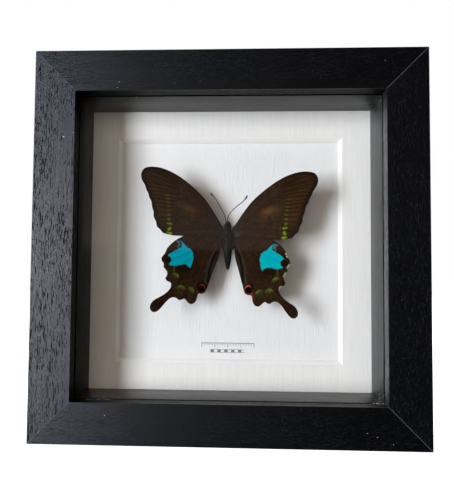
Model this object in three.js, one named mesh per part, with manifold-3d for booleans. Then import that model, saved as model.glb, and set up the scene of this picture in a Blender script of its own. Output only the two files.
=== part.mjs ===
// A framed swallowtail butterfly: a deep, mitred box frame glazed at the front, with a lined inner wall,
// a bevelled window mount and one spread specimen pinned over a pale lining.
// Millimetres, +Z up. The glass faces -Y, and the origin is the middle of the frame's foot.
// Depths are measured backwards from the front face of the frame.
import * as THREE from "three";
import { mergeVertices } from "three/addons/utils/BufferGeometryUtils.js";
import Module from "manifold-3d";

const wasm = await Module();
wasm.setup();

// ---------- driving dimensions ----------

const FRAME_SIDE = 210;
const FRAME_DEPTH = 46;
const FACE_WIDTH = 22;
const LIP_DEPTH = 7.5;
const WALL_WIDTH = 15.5; // what is left of a rail beside the rebate
const ARRIS = 0.6; // rounding of the rail's long edges
const GAP = 0.3; // clearance between neighbouring pieces
const REACH = 1; // how far a cutter runs past the face it cuts

const GLASS_SIDE = 177.8;
const GLASS_THICKNESS = 2;
const SPACER_DEPTH = 24;
const MOUNT_THICKNESS = 2.2;
const WINDOW_SIDE = 129.6; // at the back of the bevel, which slopes at 45 degrees
const WINDOW_SHIFT = { x: -0.5, z: -0.3 };
const LINING_THICKNESS = 0.4;
const PIN_BOARD_THICKNESS = 3;
const BACK_THICKNESS = 2.5;

const TAB = { width: 8, length: 13, thickness: 0.5, inRail: 4.9, along: 45, taper: 1 };
const HANGER = { length: 44, height: 8, thickness: 0.6, foot: 8, ramp: 3, rise: 1.2, above: 72 };
const TOOTH = { pitch: 2, depth: 1.8, flat: 0.2, count: 9 };
const NAIL = { shank: 0.6, head: 1.9, headHeight: 0.7, length: 3.2, point: 0.6, along: 18 };

const BODY_X = -0.9; // the specimen hangs a little left of the middle
const BODY_DEPTH = 26.6; // depth of the body's long axis
const FOREWING_DEPTH = 25.6; // depth of each wing's front surface at its hinge
const HINDWING_DEPTH = 26.2;
const WING_THICKNESS = 0.3;
const WING_RISE = 17; // degrees that each wing tip comes forward
const ANTENNA = { radius: 0.2, club: 0.42, clubLength: 2.6, depth: 25.3 };
const PIN = { radius: 0.25, head: 0.6, tip: 1.2, x: -1.3, z: 4.5, top: 21.7, point: 39.6 };
const HOLE_EASE = 0.05; // keeps a faceted hole clear of a faceted shank

// ---------- derived dimensions ----------

const CENTRE = FRAME_SIDE / 2;
const SIGHT = CENTRE - FACE_WIDTH; // half of the opening in the face
const REBATE = CENTRE - WALL_WIDTH; // half of the rebate behind it
const FILL = REBATE - GAP; // half of whatever lies in the rebate

// Front depth of each layer behind the lip.
const glassAt = LIP_DEPTH + GAP;
const spacerAt = glassAt + GLASS_THICKNESS + GAP;
const mountAt = spacerAt + SPACER_DEPTH + GAP;
const liningAt = mountAt + MOUNT_THICKNESS + GAP;
const pinBoardAt = liningAt + LINING_THICKNESS + GAP;
const backAt = pinBoardAt + PIN_BOARD_THICKNESS + GAP;
const tabAt = backAt + BACK_THICKNESS + GAP;

// ---------- wing outlines ----------

// Each is drawn as the right wing lies, from its hinge on the thorax: x outwards, z up.
const FOREWING = [
  [0.6, 1], [3.8, 6.1], [7.6, 11.4], [11.7, 16.3], [16.6, 20.5], [21.8, 24.2], [27.3, 27.5],
  [33.1, 30], [39.3, 31.3], [44.1, 31.1], [47.4, 29.8], [48.9, 26.8], [48.5, 23.9], [47.7, 22.3],
  [46.3, 20.4], [45.4, 17.9], [44.1, 16], [43.6, 14], [42.2, 11.8], [41.7, 9], [40.6, 6.1],
  [40.3, 3.2], [38.8, 0.6], [38.2, -1.8], [36.2, -3.5], [34.5, -5.2], [31.8, -5.8], [28.6, -6.1],
  [21, -5.8], [12.7, -5.1], [5.4, -4.7], [0.7, -4.2],
];
const HINDWING = [
  [0.7, 1.4], [6.4, 3.1], [14.7, 3.1], [20.9, 1.5], [26, -1.4], [29, -3.9], [31.3, -7],
  [32.2, -9.7], [33.7, -12.2], [33.3, -14.1], [32.2, -15.5], [32.2, -17.3], [31.2, -18.8],
  [30.2, -20.6], [30.2, -22.5], [30.9, -24.4], [29.8, -25.9], [28, -26.6], [27.4, -28.4],
  [28, -30.2], [30.6, -33.2], [33.7, -35.4], [36.4, -37.3], [37.9, -40.1], [37.7, -42.3],
  [35.9, -43.7], [33.8, -43.1], [31.7, -40.8], [29.6, -37.8], [27.5, -35.5], [25.5, -34.6],
  [23.6, -35], [22.3, -35.9], [20.8, -35.6], [19.3, -34.9], [18.1, -35.7], [16.9, -36.9],
  [15.2, -37.6], [13.4, -36.8], [12.3, -35], [11.8, -32.4], [11.3, -31.4], [9.4, -31.2],
  [7.7, -30.3], [6.8, -28.2], [5.6, -23.9], [4.4, -19.6], [3.1, -14.7], [2, -10.8], [1.4, -7.3],
  [1.1, -4.3], [0.8, -1.5],
];

// Where each wing is set: hinge beside the body's axis, and degrees raised from the drawn pose.
const WINGS = [
  { name: "forewing_right", outline: FOREWING, side: 1, hinge: [2.7, 10.5], raised: 0 },
  { name: "forewing_left", outline: FOREWING, side: -1, hinge: [2.7, 11], raised: 3.4 },
  { name: "hindwing_right", outline: HINDWING, side: 1, hinge: [2.7, 4.4], raised: 0 },
  { name: "hindwing_left", outline: HINDWING, side: -1, hinge: [2.9, 4.1], raised: 4.9 },
];

// Radius and height of the body along its axis, from the tail to the top of the head.
const BODY_PROFILE = [
  [0, -12.6], [0.55, -12], [1.05, -10.7], [1.6, -8.2], [2, -4.9], [2.3, -1.2], [2.45, 0],
  [2.65, 1.5], [2.75, 4.3], [2.7, 7.4], [2.4, 9.9], [2.05, 11.3], [2.05, 12.4],
  [1.65, 13.8], [1.1, 14.8], [0.6, 15.3], [0, 15.5],
];

// The antennae's routes from the head to the clubs, as x from the frame's middle and z.
const ANTENNAE = {
  left: [[-2.1, 16], [-2.7, 18.5], [-4.2, 21.9], [-6.2, 25.4], [-8.2, 28.7], [-9.8, 30.7], [-11.2, 32.1]],
  right: [
    [-1.3, 16], [-0.6, 18.5], [0.5, 20.6], [2.3, 22.6], [5, 24.9],
    [8, 27.4], [9.4, 28.9], [10.2, 30.8],
  ],
};

// ---------- finishes ----------

const finish = (color, roughness, metalness = 0) =>
  new THREE.MeshStandardMaterial({ color, roughness, metalness });

const blackWood = finish(0x1d1c1e, 0.5);
const clearGlass = new THREE.MeshStandardMaterial({
  color: 0xe6f0ee,
  roughness: 0.03,
  transparent: true,
  opacity: 0.2,
});
const wrappedWood = finish(0x2a292b, 0.6);
const whiteCard = finish(0xe9e6e0, 0.85);
const liningCloth = finish(0xe8ebee, 0.9);
const whiteFoam = finish(0xf2f2ee, 0.9);
const hardboard = finish(0x8a6a4a, 0.75);
const zincSteel = finish(0xb4b4b0, 0.4, 0.9);
const darkWing = finish(0x3a3128, 0.7);
const bodyFur = finish(0x2b2724, 0.9);
const pinSteel = finish(0xc8c8c6, 0.25, 1);

// ---------- shaping helpers ----------

const atDepth = (depth) => depth - FRAME_DEPTH / 2;

// A geometry as a manifold solid, and back again.
function solid(geometry) {
  const bare = geometry.index ? geometry.toNonIndexed() : geometry.clone();
  bare.deleteAttribute("normal");
  bare.deleteAttribute("uv");
  const merged = mergeVertices(bare, 1e-4);
  return new wasm.Manifold(
    new wasm.Mesh({
      numProp: 3,
      vertProperties: merged.attributes.position.array,
      triVerts: new Uint32Array(merged.index.array),
    }),
  );
}

function geometryOf(manifold) {
  const { vertProperties, triVerts } = manifold.getMesh();
  const indexed = new THREE.BufferGeometry();
  indexed.setAttribute("position", new THREE.BufferAttribute(vertProperties, 3));
  indexed.setIndex(new THREE.BufferAttribute(triVerts, 1));
  const faceted = indexed.toNonIndexed();
  faceted.computeVertexNormals();
  return faceted;
}

function outline(points) {
  return new THREE.Shape(points.map(([x, y]) => new THREE.Vector2(x, y)));
}

// An outline seen from the front, x and z, filled between two depths.
function slab(shape, frontDepth, backDepth) {
  const geometry = new THREE.ExtrudeGeometry(shape, {
    depth: backDepth - frontDepth,
    bevelEnabled: false,
  });
  return geometry.rotateX(Math.PI / 2).translate(0, atDepth(backDepth), 0);
}

// A box between two corners given as x, depth and z.
function block([x0, front, z0], [x1, back, z1]) {
  const box = new THREE.BoxGeometry(x1 - x0, back - front, z1 - z0);
  return box.translate((x0 + x1) / 2, atDepth((front + back) / 2), (z0 + z1) / 2);
}

// A round bar or hole along the depth.
function bar(x, z, radius, frontDepth, backDepth) {
  const rod = new THREE.CylinderGeometry(radius, radius, backDepth - frontDepth, 12);
  return rod.translate(x, atDepth((frontDepth + backDepth) / 2), z);
}

function lathe(profile, segments) {
  return new THREE.LatheGeometry(profile.map(([r, h]) => new THREE.Vector2(r, h)), segments);
}

const part = new THREE.Group();
part.name = "framed_butterfly";

// Everything is laid out about the middle of the opening, half the frame's side above its foot.
const interior = new THREE.Group();
interior.position.z = CENTRE;
part.add(interior);

function addPiece(name, geometry, material, parent = interior) {
  const piece = new THREE.Mesh(geometry, material);
  piece.name = name;
  parent.add(piece);
  return piece;
}

// ---------- the moulding ----------

// Section of a rail: x from the outer side towards the opening, y back from the face.
function railSection() {
  const section = new THREE.Shape();
  section.moveTo(ARRIS, 0);
  section.lineTo(FACE_WIDTH - ARRIS, 0);
  section.absarc(FACE_WIDTH - ARRIS, ARRIS, ARRIS, -Math.PI / 2, 0);
  section.lineTo(FACE_WIDTH, LIP_DEPTH);
  section.lineTo(WALL_WIDTH, LIP_DEPTH);
  section.lineTo(WALL_WIDTH, FRAME_DEPTH);
  section.lineTo(ARRIS, FRAME_DEPTH);
  section.absarc(ARRIS, FRAME_DEPTH - ARRIS, ARRIS, Math.PI / 2, Math.PI);
  section.lineTo(0, ARRIS);
  section.absarc(ARRIS, ARRIS, ARRIS, Math.PI, Math.PI * 1.5);
  return section;
}

// The foot rail, mitred at both ends and slotted at the back for its two tabs.
function railGeometry() {
  const length = new THREE.ExtrudeGeometry(railSection(), {
    depth: FRAME_SIDE,
    bevelEnabled: false,
    curveSegments: 3,
  });
  length.rotateY(-Math.PI / 2).translate(CENTRE, atDepth(0), -CENTRE);
  const apex = -GAP * Math.SQRT1_2;
  const mitre = outline([[0, apex], [-FRAME_SIDE, apex - FRAME_SIDE], [FRAME_SIDE, apex - FRAME_SIDE]]);
  let rail = solid(length).intersect(solid(slab(mitre, -REACH, FRAME_DEPTH + REACH)));
  const slotEnd = -REBATE - TAB.inRail - GAP;
  for (const along of [-TAB.along, TAB.along]) {
    const halfSlot = TAB.width / 2 + GAP;
    const slot = block(
      [along - halfSlot, tabAt - GAP, slotEnd],
      [along + halfSlot, tabAt + TAB.thickness + GAP, -REBATE + REACH],
    );
    rail = rail.subtract(solid(slot));
  }
  return geometryOf(rail);
}

// A flat steel tab with a round free end, half sunk in the foot rail.
function tabGeometry(along) {
  const half = TAB.width / 2;
  const root = -REBATE - TAB.inRail;
  const shape = new THREE.Shape();
  shape.moveTo(along - half + TAB.taper, root);
  shape.lineTo(along + half - TAB.taper, root);
  shape.lineTo(along + half, root + TAB.taper);
  shape.absarc(along, root + TAB.length - half, half, 0, Math.PI);
  shape.lineTo(along - half, root + TAB.taper);
  return slab(shape, tabAt, tabAt + TAB.thickness);
}

const rail = railGeometry();
["bottom", "right", "top", "left"].forEach((side, quarter) => {
  const corner = new THREE.Group();
  corner.rotation.y = (-quarter * Math.PI) / 2;
  interior.add(corner);
  addPiece("frame_rail_" + side, rail, blackWood, corner);
  addPiece("flexi_tab_" + side + "_1", tabGeometry(-TAB.along), zincSteel, corner);
  addPiece("flexi_tab_" + side + "_2", tabGeometry(TAB.along), zincSteel, corner);
});

// ---------- glass, inner walls and mount ----------

const halfGlass = GLASS_SIDE / 2;
addPiece(
  "glass_pane",
  block([-halfGlass, glassAt, -halfGlass], [halfGlass, glassAt + GLASS_THICKNESS, halfGlass]),
  clearGlass,
);

const spacerBack = spacerAt + SPACER_DEPTH;
for (const [name, low, high] of [
  ["spacer_top", [-FILL, SIGHT], [FILL, FILL]],
  ["spacer_bottom", [-FILL, -FILL], [FILL, -SIGHT]],
  ["spacer_left", [-FILL, -SIGHT + GAP], [-SIGHT, SIGHT - GAP]],
  ["spacer_right", [SIGHT, -SIGHT + GAP], [FILL, SIGHT - GAP]],
]) {
  const strip = block([low[0], spacerAt, low[1]], [high[0], spacerBack, high[1]]);
  addPiece(name, strip, wrappedWood);
}

// The window's bevel is a square funnel that narrows towards the back.
function windowMountGeometry() {
  const back = WINDOW_SIDE / 2 - REACH;
  const front = WINDOW_SIDE / 2 + MOUNT_THICKNESS + REACH;
  const funnel = new THREE.CylinderGeometry(
    back * Math.SQRT2,
    front * Math.SQRT2,
    MOUNT_THICKNESS + 2 * REACH,
    4,
  );
  funnel.rotateY(Math.PI / 4);
  funnel.translate(WINDOW_SHIFT.x, atDepth(mountAt + MOUNT_THICKNESS / 2), WINDOW_SHIFT.z);
  const card = block([-FILL, mountAt, -FILL], [FILL, mountAt + MOUNT_THICKNESS, FILL]);
  return geometryOf(solid(card).subtract(solid(funnel)));
}
addPiece("window_mount", windowMountGeometry(), whiteCard);

// ---------- lining, pin board and back board ----------

// A full sheet of the rebate's size, with round holes as [x, z, radius, back depth].
function sheetGeometry(front, thickness, holes) {
  let sheet = solid(block([-FILL, front, -FILL], [FILL, front + thickness, FILL]));
  for (const [x, z, radius, end] of holes) {
    sheet = sheet.subtract(solid(bar(x, z, radius, front - REACH, end)));
  }
  return geometryOf(sheet);
}

const pinHole = PIN.radius + GAP + HOLE_EASE;
const nailHole = NAIL.shank + GAP + HOLE_EASE;
const nailEnd = tabAt + HANGER.thickness + GAP - NAIL.length;
const nailPlaces = [-NAIL.along, NAIL.along];
addPiece(
  "lining_sheet",
  sheetGeometry(liningAt, LINING_THICKNESS, [[PIN.x, PIN.z, pinHole, pinBoardAt]]),
  liningCloth,
);
addPiece(
  "pin_board",
  sheetGeometry(pinBoardAt, PIN_BOARD_THICKNESS, [[PIN.x, PIN.z, pinHole, PIN.point + GAP]]),
  whiteFoam,
);
addPiece(
  "back_board",
  geometryOf(
    nailPlaces.reduce(
      (board, x) => board.subtract(solid(bar(x, HANGER.above, nailHole, nailEnd - GAP, tabAt))),
      solid(block([-FILL, backAt, -FILL], [FILL, backAt + BACK_THICKNESS, FILL])),
    ),
  ),
  hardboard,
);

// ---------- the hanger ----------

// A steel strip that bows out between its two feet, with teeth along the bow's lower edge.
function hangerGeometry() {
  const end = HANGER.length / 2;
  const foot = end - HANGER.foot;
  const bow = foot - HANGER.ramp;
  const near = atDepth(tabAt);
  const far = near + HANGER.thickness;
  const fromAbove = outline([
    [-end, near], [-foot, near], [-bow, near + HANGER.rise], [bow, near + HANGER.rise],
    [foot, near], [end, near], [end, far], [foot, far], [bow, far + HANGER.rise],
    [-bow, far + HANGER.rise], [-foot, far], [-end, far],
  ]);
  const low = HANGER.above - HANGER.height / 2;
  const strip = new THREE.ExtrudeGeometry(fromAbove, { depth: HANGER.height, bevelEnabled: false });
  let hanger = solid(strip.translate(0, 0, low));
  for (let i = 0; i < TOOTH.count; i++) {
    const x = (i - (TOOTH.count - 1) / 2) * TOOTH.pitch;
    const half = TOOTH.pitch / 2 - TOOTH.flat / 2;
    const notch = outline([
      [x - half, low - REACH], [x + half, low - REACH], [x + half, low],
      [x, low + TOOTH.depth], [x - half, low],
    ]);
    hanger = hanger.subtract(solid(slab(notch, tabAt, FRAME_DEPTH)));
  }
  for (const x of nailPlaces) {
    hanger = hanger.subtract(solid(bar(x, HANGER.above, nailHole, tabAt - REACH, FRAME_DEPTH)));
  }
  return geometryOf(hanger);
}
addPiece("sawtooth_hanger", hangerGeometry(), zincSteel);

const nail = lathe(
  [
    [0, 0], [NAIL.shank, NAIL.point], [NAIL.shank, NAIL.length], [NAIL.head, NAIL.length],
    [NAIL.head * 0.7, NAIL.length + NAIL.headHeight * 0.8], [0, NAIL.length + NAIL.headHeight],
  ],
  12,
);
nailPlaces.forEach((x, i) => {
  const piece = addPiece("hanger_nail_" + ["left", "right"][i], nail, zincSteel);
  piece.position.set(x, atDepth(nailEnd), HANGER.above);
});

// ---------- the butterfly ----------

const specimen = new THREE.Group();
specimen.position.set(BODY_X, atDepth(0), 0);
interior.add(specimen);

// Head, thorax and abdomen in one, with a hole for the pin.
function bodyGeometry() {
  const body = lathe(BODY_PROFILE, 20).rotateX(Math.PI / 2).translate(0, BODY_DEPTH, 0);
  const hole = bar(PIN.x - BODY_X, PIN.z, pinHole, 0, FRAME_DEPTH).translate(0, -atDepth(0), 0);
  return geometryOf(solid(body).subtract(solid(hole)));
}
addPiece("butterfly_body", bodyGeometry(), bodyFur, specimen);

// A smooth closed wing outline through the drawn points.
function wingShape(points, side) {
  const route = new THREE.CatmullRomCurve3(
    points.map(([x, z]) => new THREE.Vector3(side * x, z, 0)),
    true,
  );
  return outline(route.getPoints(2 * points.length).slice(0, -1).map((p) => [p.x, p.y]));
}

for (const wing of WINGS) {
  const front = wing.outline === FOREWING ? FOREWING_DEPTH : HINDWING_DEPTH;
  const geometry = new THREE.ExtrudeGeometry(wingShape(wing.outline, wing.side), {
    depth: WING_THICKNESS,
    bevelEnabled: false,
  });
  geometry.rotateX(Math.PI / 2).translate(0, WING_THICKNESS, 0);
  const piece = addPiece(wing.name, geometry, darkWing, specimen);
  piece.position.set(wing.side * wing.hinge[0], front, wing.hinge[1]);
  piece.rotation.order = "ZYX";
  piece.rotation.y = -wing.side * THREE.MathUtils.degToRad(wing.raised);
  piece.rotation.z = -wing.side * THREE.MathUtils.degToRad(WING_RISE);
}

// A fine stalk along the route, ending in a slender club.
function antennaGeometry(points) {
  const route = new THREE.CatmullRomCurve3(
    points.map(([x, z]) => new THREE.Vector3(x, atDepth(ANTENNA.depth), z)),
  );
  const section = new THREE.Shape().absarc(0, 0, ANTENNA.radius, 0, 2 * Math.PI);
  const stalk = new THREE.ExtrudeGeometry(section, {
    steps: 12,
    curveSegments: 4,
    extrudePath: route,
  });
  const club = new THREE.SphereGeometry(ANTENNA.club, 8, 6);
  club.scale(1, ANTENNA.clubLength / 2 / ANTENNA.club, 1);
  const along = route.getTangent(1);
  club.applyQuaternion(new THREE.Quaternion().setFromUnitVectors(THREE.Object3D.DEFAULT_UP, along));
  const middle = route.getPoint(1).addScaledVector(along, -ANTENNA.clubLength / 3);
  club.translate(middle.x, middle.y, middle.z);
  return geometryOf(solid(stalk).add(solid(club)));
}
for (const [side, points] of Object.entries(ANTENNAE)) {
  addPiece("antenna_" + side, antennaGeometry(points), bodyFur);
}

// ---------- the pin ----------

const pinLength = PIN.point - PIN.top;
const pin = lathe(
  [
    [0, 0], [PIN.radius, PIN.tip], [PIN.radius, pinLength - PIN.head],
    [PIN.head, pinLength - 0.7 * PIN.head], [PIN.head, pinLength - 0.3 * PIN.head], [0, pinLength],
  ],
  10,
);
const pinPiece = addPiece("specimen_pin", pin, pinSteel);
pinPiece.position.set(PIN.x, atDepth(PIN.point), PIN.z);
pinPiece.rotation.z = Math.PI;

export default part;
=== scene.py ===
import math
from functools import reduce

import bmesh
import bpy
import numpy as np
from mathutils import Matrix, Vector


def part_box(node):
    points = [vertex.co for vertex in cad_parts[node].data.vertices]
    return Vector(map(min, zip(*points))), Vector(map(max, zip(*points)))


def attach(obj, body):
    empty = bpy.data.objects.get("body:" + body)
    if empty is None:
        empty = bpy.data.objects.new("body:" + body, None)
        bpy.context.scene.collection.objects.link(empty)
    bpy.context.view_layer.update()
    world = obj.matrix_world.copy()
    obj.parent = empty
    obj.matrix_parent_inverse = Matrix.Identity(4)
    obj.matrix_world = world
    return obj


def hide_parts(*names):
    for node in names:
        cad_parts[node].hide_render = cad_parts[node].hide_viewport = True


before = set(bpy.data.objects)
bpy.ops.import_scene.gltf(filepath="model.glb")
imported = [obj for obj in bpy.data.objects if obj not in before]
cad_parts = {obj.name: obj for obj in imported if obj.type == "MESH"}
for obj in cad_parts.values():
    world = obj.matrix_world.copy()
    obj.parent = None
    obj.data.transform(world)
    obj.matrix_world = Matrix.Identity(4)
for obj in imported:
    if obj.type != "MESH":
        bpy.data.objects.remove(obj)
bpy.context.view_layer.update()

# ---------- sizes ----------

MM = 0.001
FRAME_SIDE = 210
HALF = FRAME_SIDE / 2
CENTRE_Z = FRAME_SIDE / 2
FRAME_DEPTH = 46
FACE_WIDTH = 22
LIP_DEPTH = 7.5
WALL_WIDTH = 15.5  # of the rail behind its lip
WALL_REACH = 0.28
ARRIS = 0.6
PAINT_BACK = 0.1  # the painted face lies this far back, so that dust can stand on it
MITRE_GAP = 0.03
MITRE_ARRIS = 0.07
# The axis that each side's grain follows, in quarter turns round from the bottom.
GRAIN = {"bottom": 0, "right": 2, "top": 0, "left": 2}
SIGHT = HALF - FACE_WIDTH

MOUNT_THICKNESS = 2.2
WINDOW_BACK = 129.6
WINDOW_FRONT = WINDOW_BACK + 2 * MOUNT_THICKNESS
WINDOW_SHIFT = (-0.5, -0.3)
LINING_DEPTH = 36.9

BODY_X = -0.9
BODY_DEPTH = 26.6
FOREWING_DEPTH = 25.6
HINDWING_DEPTH = 26.2
WING_RISE = 17
WING_THICKNESS = 0.16
WING_CELL = 0.34  # spacing of the wing's lattice
PIN = {"radius": 0.25, "head": 0.6, "tip": 1.2, "x": -1.3, "z": 4.5, "top": 21.7, "point": 39.6}
ANTENNA_DEPTH = 25.3

# The wing outlines, from the hinge as the right wing lies: outwards, up.
FOREWING = [
    (0.6, 1), (3.8, 6.1), (7.6, 11.4), (11.7, 16.3), (16.6, 20.5), (21.8, 24.2), (27.3, 27.5),
    (33.1, 30), (39.3, 31.3), (44.1, 31.1), (47.4, 29.8), (48.9, 26.8), (48.5, 23.9), (47.7, 22.3),
    (46.3, 20.4), (45.4, 17.9), (44.1, 16), (43.6, 14), (42.2, 11.8), (41.7, 9), (40.6, 6.1),
    (40.3, 3.2), (38.8, 0.6), (38.2, -1.8), (36.2, -3.5), (34.5, -5.2), (31.8, -5.8), (28.6, -6.1),
    (21, -5.8), (12.7, -5.1), (5.4, -4.7), (0.7, -4.2),
]
HINDWING = [
    (0.7, 1.4), (6.4, 3.1), (14.7, 3.1), (20.9, 1.5), (26, -1.4), (29, -3.9), (31.3, -7),
    (32.2, -9.7), (33.7, -12.2), (33.3, -14.1), (32.2, -15.5), (32.2, -17.3), (31.2, -18.8),
    (30.2, -20.6), (30.2, -22.5), (30.9, -24.4), (29.8, -25.9), (28, -26.6), (27.4, -28.4),
    (28, -30.2), (30.6, -33.2), (33.7, -35.4), (36.4, -37.3), (37.9, -40.1), (37.7, -42.3),
    (35.9, -43.7), (33.8, -43.1), (31.7, -40.8), (29.6, -37.8), (27.5, -35.5), (25.5, -34.6),
    (23.6, -35), (22.3, -35.9), (20.8, -35.6), (19.3, -34.9), (18.1, -35.7), (16.9, -36.9),
    (15.2, -37.6), (13.4, -36.8), (12.3, -35), (11.8, -32.4), (11.3, -31.4), (9.4, -31.2),
    (7.7, -30.3), (6.8, -28.2), (5.6, -23.9), (4.4, -19.6), (3.1, -14.7), (2, -10.8), (1.4, -7.3),
    (1.1, -4.3), (0.8, -1.5),
]

# Veins, and the folds that lie between them towards the margin.
FOREWING_VEINS = [
    [(1.2, 1), (6.5, 7.6), (12.7, 14.6), (23, 23.1), (31.1, 28.3)],
    [(1.2, 0.8), (7.5, 6.7), (14.3, 12.8), (25.1, 21.9), (34.2, 27.7), (39.1, 30.9)],
    [(14.3, 12.8), (17.9, 15.7), (29.1, 23.5), (39.1, 28.7), (44.6, 30.8)],
    [(17.9, 15.7), (22, 17.5), (32.1, 24.7), (41.1, 28), (48, 29.2)],
    [(22, 17.5), (32.1, 23), (41.1, 25.2), (48.9, 26.2)],
    [(22, 17.5), (32.1, 20.7), (41.1, 22.1), (47.6, 22.4)],
    [(22, 17.5), (23.5, 16.2), (32.1, 17.3), (39.1, 17.7), (45.3, 17.9)],
    [(23.5, 16.2), (24, 13.7), (32.1, 13.2), (43.5, 14)],
    [(24, 13.7), (23.5, 10.9), (32.1, 8.9), (41.6, 9.1)],
    [(23.5, 10.9), (19.9, 8.5), (26.1, 5.6), (32.1, 3.7), (40.1, 3.2)],
    [(1.2, 0), (7.5, 2.5), (13.8, 5.4), (19.9, 8.5)],
    [(13.8, 5.4), (21, 1.7), (32.1, -1.3), (38, -1.9)],
    [(1.2, -0.6), (12.7, -2.5), (25, -4.6), (33.1, -5.4)],
]
FOREWING_FOLDS = [
    [(25.1, 23.8), (34.2, 28.1), (42.1, 30.1)],
    [(29.1, 24.1), (38.1, 27.5), (46.6, 29.9)],
    [(30.1, 22.8), (39.1, 25.7), (48.6, 27.8)],
    [(28.1, 20.3), (39.1, 23.3), (48.5, 24.5)],
    [(27.1, 17.9), (37.1, 19.8), (46.4, 20.2)],
    [(26.1, 15), (32.1, 15.2), (44.5, 15.9)],
    [(26.1, 11.9), (32.1, 11.1), (42.5, 11.6)],
    [(25, 7.7), (32.1, 6.3), (40.8, 6.2)],
    [(23, 3.1), (32.1, 1.3), (39.1, 0.5)],
    [(21, -1.4), (32.1, -3.8), (35.7, -4)],
]
HINDWING_VEINS = [
    [(1.2, 0.6), (8.5, 1.9), (17.8, 0.3), (24.9, -2.9), (29.6, -4.7)],
    [(7.4, 0.5), (12.6, -2.6), (20.9, -6.6), (32, -9.8)],
    [(12.6, -2.6), (15.1, -5.9), (23.9, -10.8), (33.4, -14.2)],
    [(15.1, -5.9), (15.5, -8.9), (22.9, -15), (31.3, -18.6)],
    [(15.5, -8.9), (14.7, -11.9), (20.5, -20.4), (27, -29.4), (32.1, -36.7), (36.7, -42.1)],
    [(14.7, -11.9), (12.3, -13.1), (16.6, -23.4), (21.6, -35.4)],
    [(1.2, 0), (4.9, -5.2), (8.9, -11.1), (12.3, -13.1)],
    [(8.9, -11.1), (12.3, -22.4), (15.4, -37.4)],
]
HINDWING_FOLDS = [
    [(16.8, -4.9), (25, -8), (32.3, -11.5)],
    [(17.8, -9.4), (26, -13.4), (32.3, -16.5)],
    [(17.3, -13.4), (24, -21.4), (30.2, -25.4)],
    [(15.8, -15.4), (19.5, -26.4), (24, -34.7)],
    [(12.7, -17.3), (14.8, -27.4), (18.3, -35.7)],
    [(8.3, -13.3), (9.6, -22.4), (10.2, -31)],
]

# Where each wing is set: side, hinge from the body's axis, degrees raised from the drawn pose.
WINGS = {
    "forewing_right": (1, (2.7, 10.5), 0),
    "forewing_left": (-1, (2.7, 11), 3.4),
    "hindwing_right": (1, (2.7, 4.4), 0),
    "hindwing_left": (-1, (2.9, 4.1), 4.9),
}

# The antennae's routes from the head, as x from the frame's middle and z from its centre.
ANTENNAE = {
    "left": [
        (-2.1, 16), (-2.7, 18.5), (-4.2, 21.9), (-6.2, 25.4), (-8.2, 28.7), (-9.8, 30.7),
        (-11.2, 32.1),
    ],
    "right": [
        (-1.3, 16), (-0.6, 18.5), (0.5, 20.6), (2.3, 22.6), (5, 24.9), (8, 27.4),
        (9.4, 28.9), (10.2, 30.8),
    ],
}

# Radius and height of the body along its axis, from the tail to the top of the head.
BODY_PROFILE = [
    (0, -12.6), (0.55, -12), (1.05, -10.7), (1.6, -8.2), (2, -4.9), (2.3, -1.2), (2.45, 0),
    (2.65, 1.5), (2.75, 4.3), (2.7, 7.4), (2.4, 9.9), (2.05, 11.3), (2.05, 12.4),
    (1.65, 13.8), (1.1, 14.8), (0.6, 15.3), (0, 15.5),
]


def at_depth(depth):
    """A depth behind the frame's face, as y."""
    return depth - FRAME_DEPTH / 2


# ---------- camera ----------

CAMERA_PLACE = (6.828, -273.794, 85.005)
CAMERA_TURN = (92.4634, -0.4399, 2.2017)
camera_data = bpy.data.cameras.new("camera")
camera_data.lens = 34.519
camera_data.shift_x = 0.009124
camera_data.shift_y = 0.024773
camera_data.clip_start = 0.01
camera = bpy.data.objects.new("camera", camera_data)
camera.location = Vector(CAMERA_PLACE) * MM
camera.rotation_euler = [math.radians(angle) for angle in CAMERA_TURN]
bpy.context.scene.collection.objects.link(camera)
bpy.context.scene.camera = camera


# ---------- materials ----------


class Nodes:
    """The node tree of a material or a world, emptied and then built up a node at a time."""

    def __init__(self, owner):
        owner.use_nodes = True
        self.tree = owner.node_tree
        self.tree.nodes.clear()

    def node(self, kind, inputs=None, **settings):
        node = self.tree.nodes.new("ShaderNode" + kind)
        for key, value in settings.items():
            setattr(node, key, value)
        for socket, value in (inputs or {}).items():
            self.feed(node.inputs[socket], value)
        return node

    def feed(self, socket, value):
        if isinstance(value, bpy.types.NodeSocket):
            self.tree.links.new(value, socket)
        elif socket.type == "RGBA":
            socket.default_value = (*value, 1)
        else:
            socket.default_value = value

    def band(self, value, low, high, to_low=0.0, to_high=1.0):
        """The value eased from one level to another."""
        inputs = {
            "Value": value, "From Min": low, "From Max": high, "To Min": to_low, "To Max": to_high,
        }
        return self.node("MapRange", inputs, interpolation_type="SMOOTHSTEP").outputs["Result"]

    def math(self, operation, *values):
        return self.node("Math", dict(enumerate(values)), operation=operation).outputs[0]

    def sum(self, *values):
        return reduce(lambda a, b: self.math("ADD", a, b), values)

    def times(self, *values):
        return reduce(lambda a, b: self.math("MULTIPLY", a, b), values)


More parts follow.
